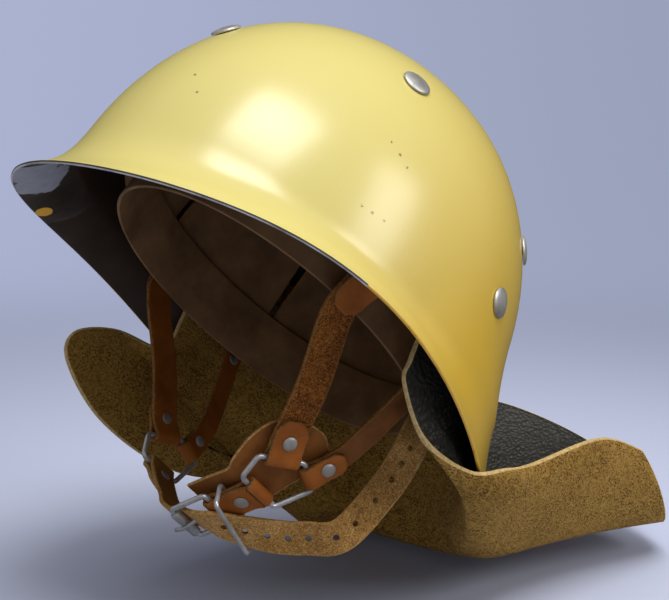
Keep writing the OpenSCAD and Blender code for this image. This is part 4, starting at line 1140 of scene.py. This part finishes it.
def make_chin_strap():
    route, sides = chin_route()
    long = strap(route, sides, STRAP_W - EASE, STRAP_T, 1.2, ends=(7.5, 0), wander=0.06, seed=21)
    long = piece("long_punched_strap", long, "chin_strap", "chin_strap", "tan_leather",
                 TAN_BACK, TAN, EDGE_TAN)
    verts, faces = plug(1.4, 4)
    oval = [v * (1.15, 1, 1) for v in verts], faces
    holes = []
    for t in HOLES_AT:
        along = unit(bend(route, t + 0.05) - bend(route, t - 0.05))
        n = unit(np.cross(along, bend(sides, t)))
        holes.append(placed(oval, bend(route, t), along, np.cross(n, along), n))
    prong = chin_pt(BAR_AT + 13.2, MID_Y, 0.8)
    holes.append(along_normal(plug(1.7, 3.5), prong, CHIN_DOWN * 0.9 + CHIN_OUT * 0.35))
    cut(long, holes)
    piece("chin_strap_rivet_set", mirrored(chin_pin(0.3, 0.3)), "chin_strap", "chin_strap_rivet",
          "rivet_metal", RIVET)


# The neck guard

LEFT_OFF = [
    [[-2, 2, -2], [-6.5, 4, -6], [-18, 8, -10], [-18, 34, -22], [-14, 63, -18.5], [-12.5, 80, -5],
     [-20, 100, 11], [-21, 133, 50], [-24, 166, 66]],
    [[-1.9, -0.8, -0.1], [-4.6, -0.3, -2.3], [-8.2, 1.6, -5.2], [-14, 16, -11], [-20, 38, -9], [-26, 58, -1],
     [-30, 80, 13], [-29, 115, 42], [-24, 154, 74]],
    [[-0.8, -1.2, 0], [-2.4, -3, -0.7], [-6, -7, -1], [-8, 5, -8], [-8, 18, -5], [-8, 29, 3], [-11, 48, 24],
     [-14, 76, 60], [-16, 106, 98]],
    [[0, -0.5, 0], [0, -2.8, -0.2], [0, -6, -2], [0, 0, -8], [0, 9, -4], [0, 17, 8], [0, 32, 36], [0, 52, 74],
     [0, 74, 114]]]
RIGHT_OFF = [
    [[-2, 2, -2], [-6.5, 4, -6], [-17, -2, -11], [-12, -26, -18], [-12, -44, -34], [-14, -38, -49],
     [-19, -2, -62], [-21, 50, -56], [-20, 98, -26]],
    [[-1.9, -0.8, -0.1], [-4.6, -0.3, -2.3], [-8.2, 1.6, -7], [-12, 16, -21], [-16, 38, -25],
     [-18, 62, -12], [-21, 82, 22], [-25, 93, 63], [-26, 104, 102]],
    [[-0.8, -1.2, 0], [-2.4, -3, -0.7], [-6, -7, -1], [-8, 5, -8], [-8, 18, -5],
     [-8, 26, 8], [-10, 36, 38], [-11, 48, 76], [-12, 60, 114]]]

# Rows and columns of the hide's grid, and the directions that it spans, in degrees from the front
GUARD_ROWS, GUARD_COLUMNS = 132, 110
GUARD_FROM, GUARD_STEP = 93, 29
# The far wing's tightest fold in that grid, and the passes that round it
FOLD_ROWS, FOLD_COLUMNS, FOLD_PASSES = slice(102, 130), slice(58, 90), 80


def guard_rows(u, net):
    a = GUARD_FROM + GUARD_STEP * u
    o = bend(net, u)
    d = HIDE_AT + GUARD_T / 2
    rows = [on_dome(a, GUARD_TOP, d), on_dome(a, GUARD_TOP / 2, d), inset(a, 1, d), inset(a, 1.4, d) + o[0],
            inset(a, 1.7, d) + o[1]]
    return np.array(rows + [rim_pt(a) + o[k] for k in range(2, 9)])


def make_guard():
    """The hide: its near wing, its middle and its far wing, from inside the wall out to its free edge."""
    net = np.concatenate([LEFT_OFF, np.array(RIGHT_OFF[::-1]) * FLIP])
    grid = []
    for i in range(GUARD_ROWS + 1):
        rows = guard_rows(6 * i / GUARD_ROWS, net)
        grid.append([bend(rows, 11 * j / GUARD_COLUMNS) for j in range(GUARD_COLUMNS + 1)])
    grid = np.array(grid)
    fold = grid[FOLD_ROWS, FOLD_COLUMNS]
    for _ in range(FOLD_PASSES):
        fold[1:-1, 1:-1] = (fold[2:, 1:-1] + fold[:-2, 1:-1] + fold[1:-1, 2:] + fold[1:-1, :-2]) / 4
    hide = piece("neck_guard_hide", thick(grid, GUARD_T, 5, 0.3), "shell", "neck_guard", "guard_leather",
                 KHAKI, PEBBLE, EDGE)
    return hide


# Camera, floor and light

# The table's normal: the helmet leans back on its guard as the photograph shows it
TABLE_UP = unit([0.114, -0.714, 0.691])
# Backdrop, in mm: reach behind the helmet, radius of its curve, height, half width and near end
SWEEP_REACH, SWEEP_R, SWEEP_H, SWEEP_HALF, SWEEP_NEAR = 1000, 900, 3000, 3000, -2000
FLOOR_GAP = 0.3
# Painted glow of the backdrop from left to right, and the floor's painted shade close by
PAINTED_GLOW_LEFT, PAINTED_GLOW_RIGHT, PAINTED_SHADE_NEAR = (0.41, 0.45, 0.64), (0.32, 0.355, 0.49), (0.27, 0.29, 0.39)
LIGHT_TARGET = Vector((0, 0, 0.03))


def camera_axes():
    """The camera's right, up and back."""
    back = np.array([sind(CAM_AZ) * cosd(CAM_EL), -cosd(CAM_AZ) * cosd(CAM_EL), sind(CAM_EL)])
    right = np.array([cosd(CAM_AZ), sind(CAM_AZ), 0])
    up = np.cross(back, right)
    c, s = cosd(CAM_ROLL), sind(CAM_ROLL)
    return c * right + s * up, c * up - s * right, back


def make_camera():
    eye = np.array(CAM_TARGET) + camera_axes()[2] * CAM_DIST
    data = bpy.data.cameras.new("camera")
    data.sensor_width = 36
    data.lens = CAM_FOCAL_PX / IMAGE_W * data.sensor_width
    data.clip_start = 0.01
    data.clip_end = 20
    cam = add_object("camera", data)
    columns = np.stack([*camera_axes(), eye * MM], 1)
    cam.matrix_world = Matrix([*map(tuple, columns), (0, 0, 0, 1)])
    bpy.context.scene.camera = cam


def make_floor(height):
    """A pale floor that runs up into a backdrop, seen from its front only, so that no view is blocked. Away
    from the helmet it glows to the camera with painted light that fades from left to right and into painted
    shade close by; in reflections it is painted shade.
    """
    back = camera_axes()[2]
    away = unit(-back + TABLE_UP * float(np.dot(TABLE_UP, back)))
    side = np.cross(away, TABLE_UP)
    profile = [(SWEEP_NEAR, 0), (0, 0), (SWEEP_REACH, 0)]
    profile += [(SWEEP_REACH + SWEEP_R * sind(a), SWEEP_R * (1 - cosd(a))) for a in range(6, 91, 6)]
    profile.append((SWEEP_REACH + SWEEP_R, SWEEP_H))
    verts = [away * d + TABLE_UP * (height + h) + side * w
             for d, h in profile for w in (-SWEEP_HALF, SWEEP_HALF)]
    faces = [(2 * i, 2 * i + 1, 2 * i + 3, 2 * i + 2) for i in range(len(profile) - 1)]
    n = material("painted_glow_floor")
    floor = mesh_object("floor", (verts, faces), [n.made])
    if floor.data.polygons[0].normal.dot(Vector(TABLE_UP)) < 0:
        floor.data.flip_normals()
    n.set(color=(0.5, 0.54, 0.7), rough=0.9, spec=0.1)

    def along(direction, low, high):
        dot = n.put("ShaderNodeVectorMath", {0: n.where, 1: direction.tolist()}, operation="DOT_PRODUCT")
        return n.step(dot.outputs["Value"], low, high)

    def either(fac, one, two):
        return n.put("ShaderNodeMixShader", {0: fac, 1: one, 2: two}).outputs[0]
    # Painted light: the glow's colour fades from left to right and darkens into painted shade close by
    pale = n.mix(along(side, -0.7, 0.7), PAINTED_GLOW_LEFT, PAINTED_GLOW_RIGHT)
    tone = n.mix(along(away, 0.1, 1.2), PAINTED_SHADE_NEAR, pale)
    # The floor glows to the camera away from the helmet: painted light
    painted_glow = n.put("ShaderNodeEmission", {"Color": tone}).outputs[0]
    share = n.times(n.step(n.away((0, 0, 0)), 0.22, 0.9), 0.95)
    ray = n.put("ShaderNodeLightPath").outputs
    # Painted shade: to reflected rays the floor is a dark diffuse, as if it lay in shadow
    painted_shade_in_reflections = n.put("ShaderNodeBsdfDiffuse", {"Color": (0.09, 0.085, 0.07)}).outputs[0]
    lit = either(ray["Is Glossy Ray"], n.shader.outputs[0], painted_shade_in_reflections)
    lit = either(n.times(share, ray["Is Camera Ray"]), lit, painted_glow)
    behind = n.put("ShaderNodeNewGeometry").outputs["Backfacing"]
    n.give(n.out.inputs[0], either(behind, lit, n.put("ShaderNodeBsdfTransparent").outputs[0]))


def area_light(name, direction, distance, size, power, color):
    data = bpy.data.lights.new(name, "AREA")
    data.shape = "RECTANGLE"
    data.size, data.size_y = size
    data.energy = power
    data.color = color
    obj = add_object(name, data)
    d = Vector([float(x) for x in unit(direction)])
    obj.location = LIGHT_TARGET + d * distance
    obj.rotation_euler = d.to_track_quat("Z", "Y").to_euler()
    return obj


def make_light():
    area_light("window_left", (0.42, -0.68, 0.57), 1.6, (0.85, 0.62), 18, (1.0, 1.0, 0.99))
    area_light("window_right", (0.82, 0.04, 0.55), 1.6, (0.45, 0.8), 8, (1.0, 0.99, 0.97))
    area_light("ceiling", TABLE_UP, 2.2, (2.4, 2.4), 20, (1.0, 0.98, 0.95)).visible_glossy = False
    world = bpy.data.worlds.new("world")
    bpy.context.scene.world = world
    world.use_nodes = True
    n = Nodes(world.node_tree)
    fill = n.put("ShaderNodeBackground", {0: (1.0, 0.97, 0.93), 1: 0.26}).outputs[0]
    seen = n.put("ShaderNodeBackground", {0: (0.4, 0.44, 0.58), 1: 1.0}).outputs[0]
    ray = n.put("ShaderNodeLightPath").outputs["Is Camera Ray"]
    both = n.put("ShaderNodeMixShader", {0: ray, 1: fill, 2: seen}).outputs[0]
    n.put("ShaderNodeOutputWorld", {0: both})


make_camera()
make_shell()
make_big_rivets()
make_liner()
make_harness()
make_pad()
make_chin()
make_chin_strap()
guard = make_guard()
lowest = min(float(np.dot(TABLE_UP, np.array(v.co) / MM)) for v in guard.data.vertices)
make_floor(lowest - FLOOR_GAP)
make_light()
bpy.context.scene.view_settings.view_transform = "Standard"
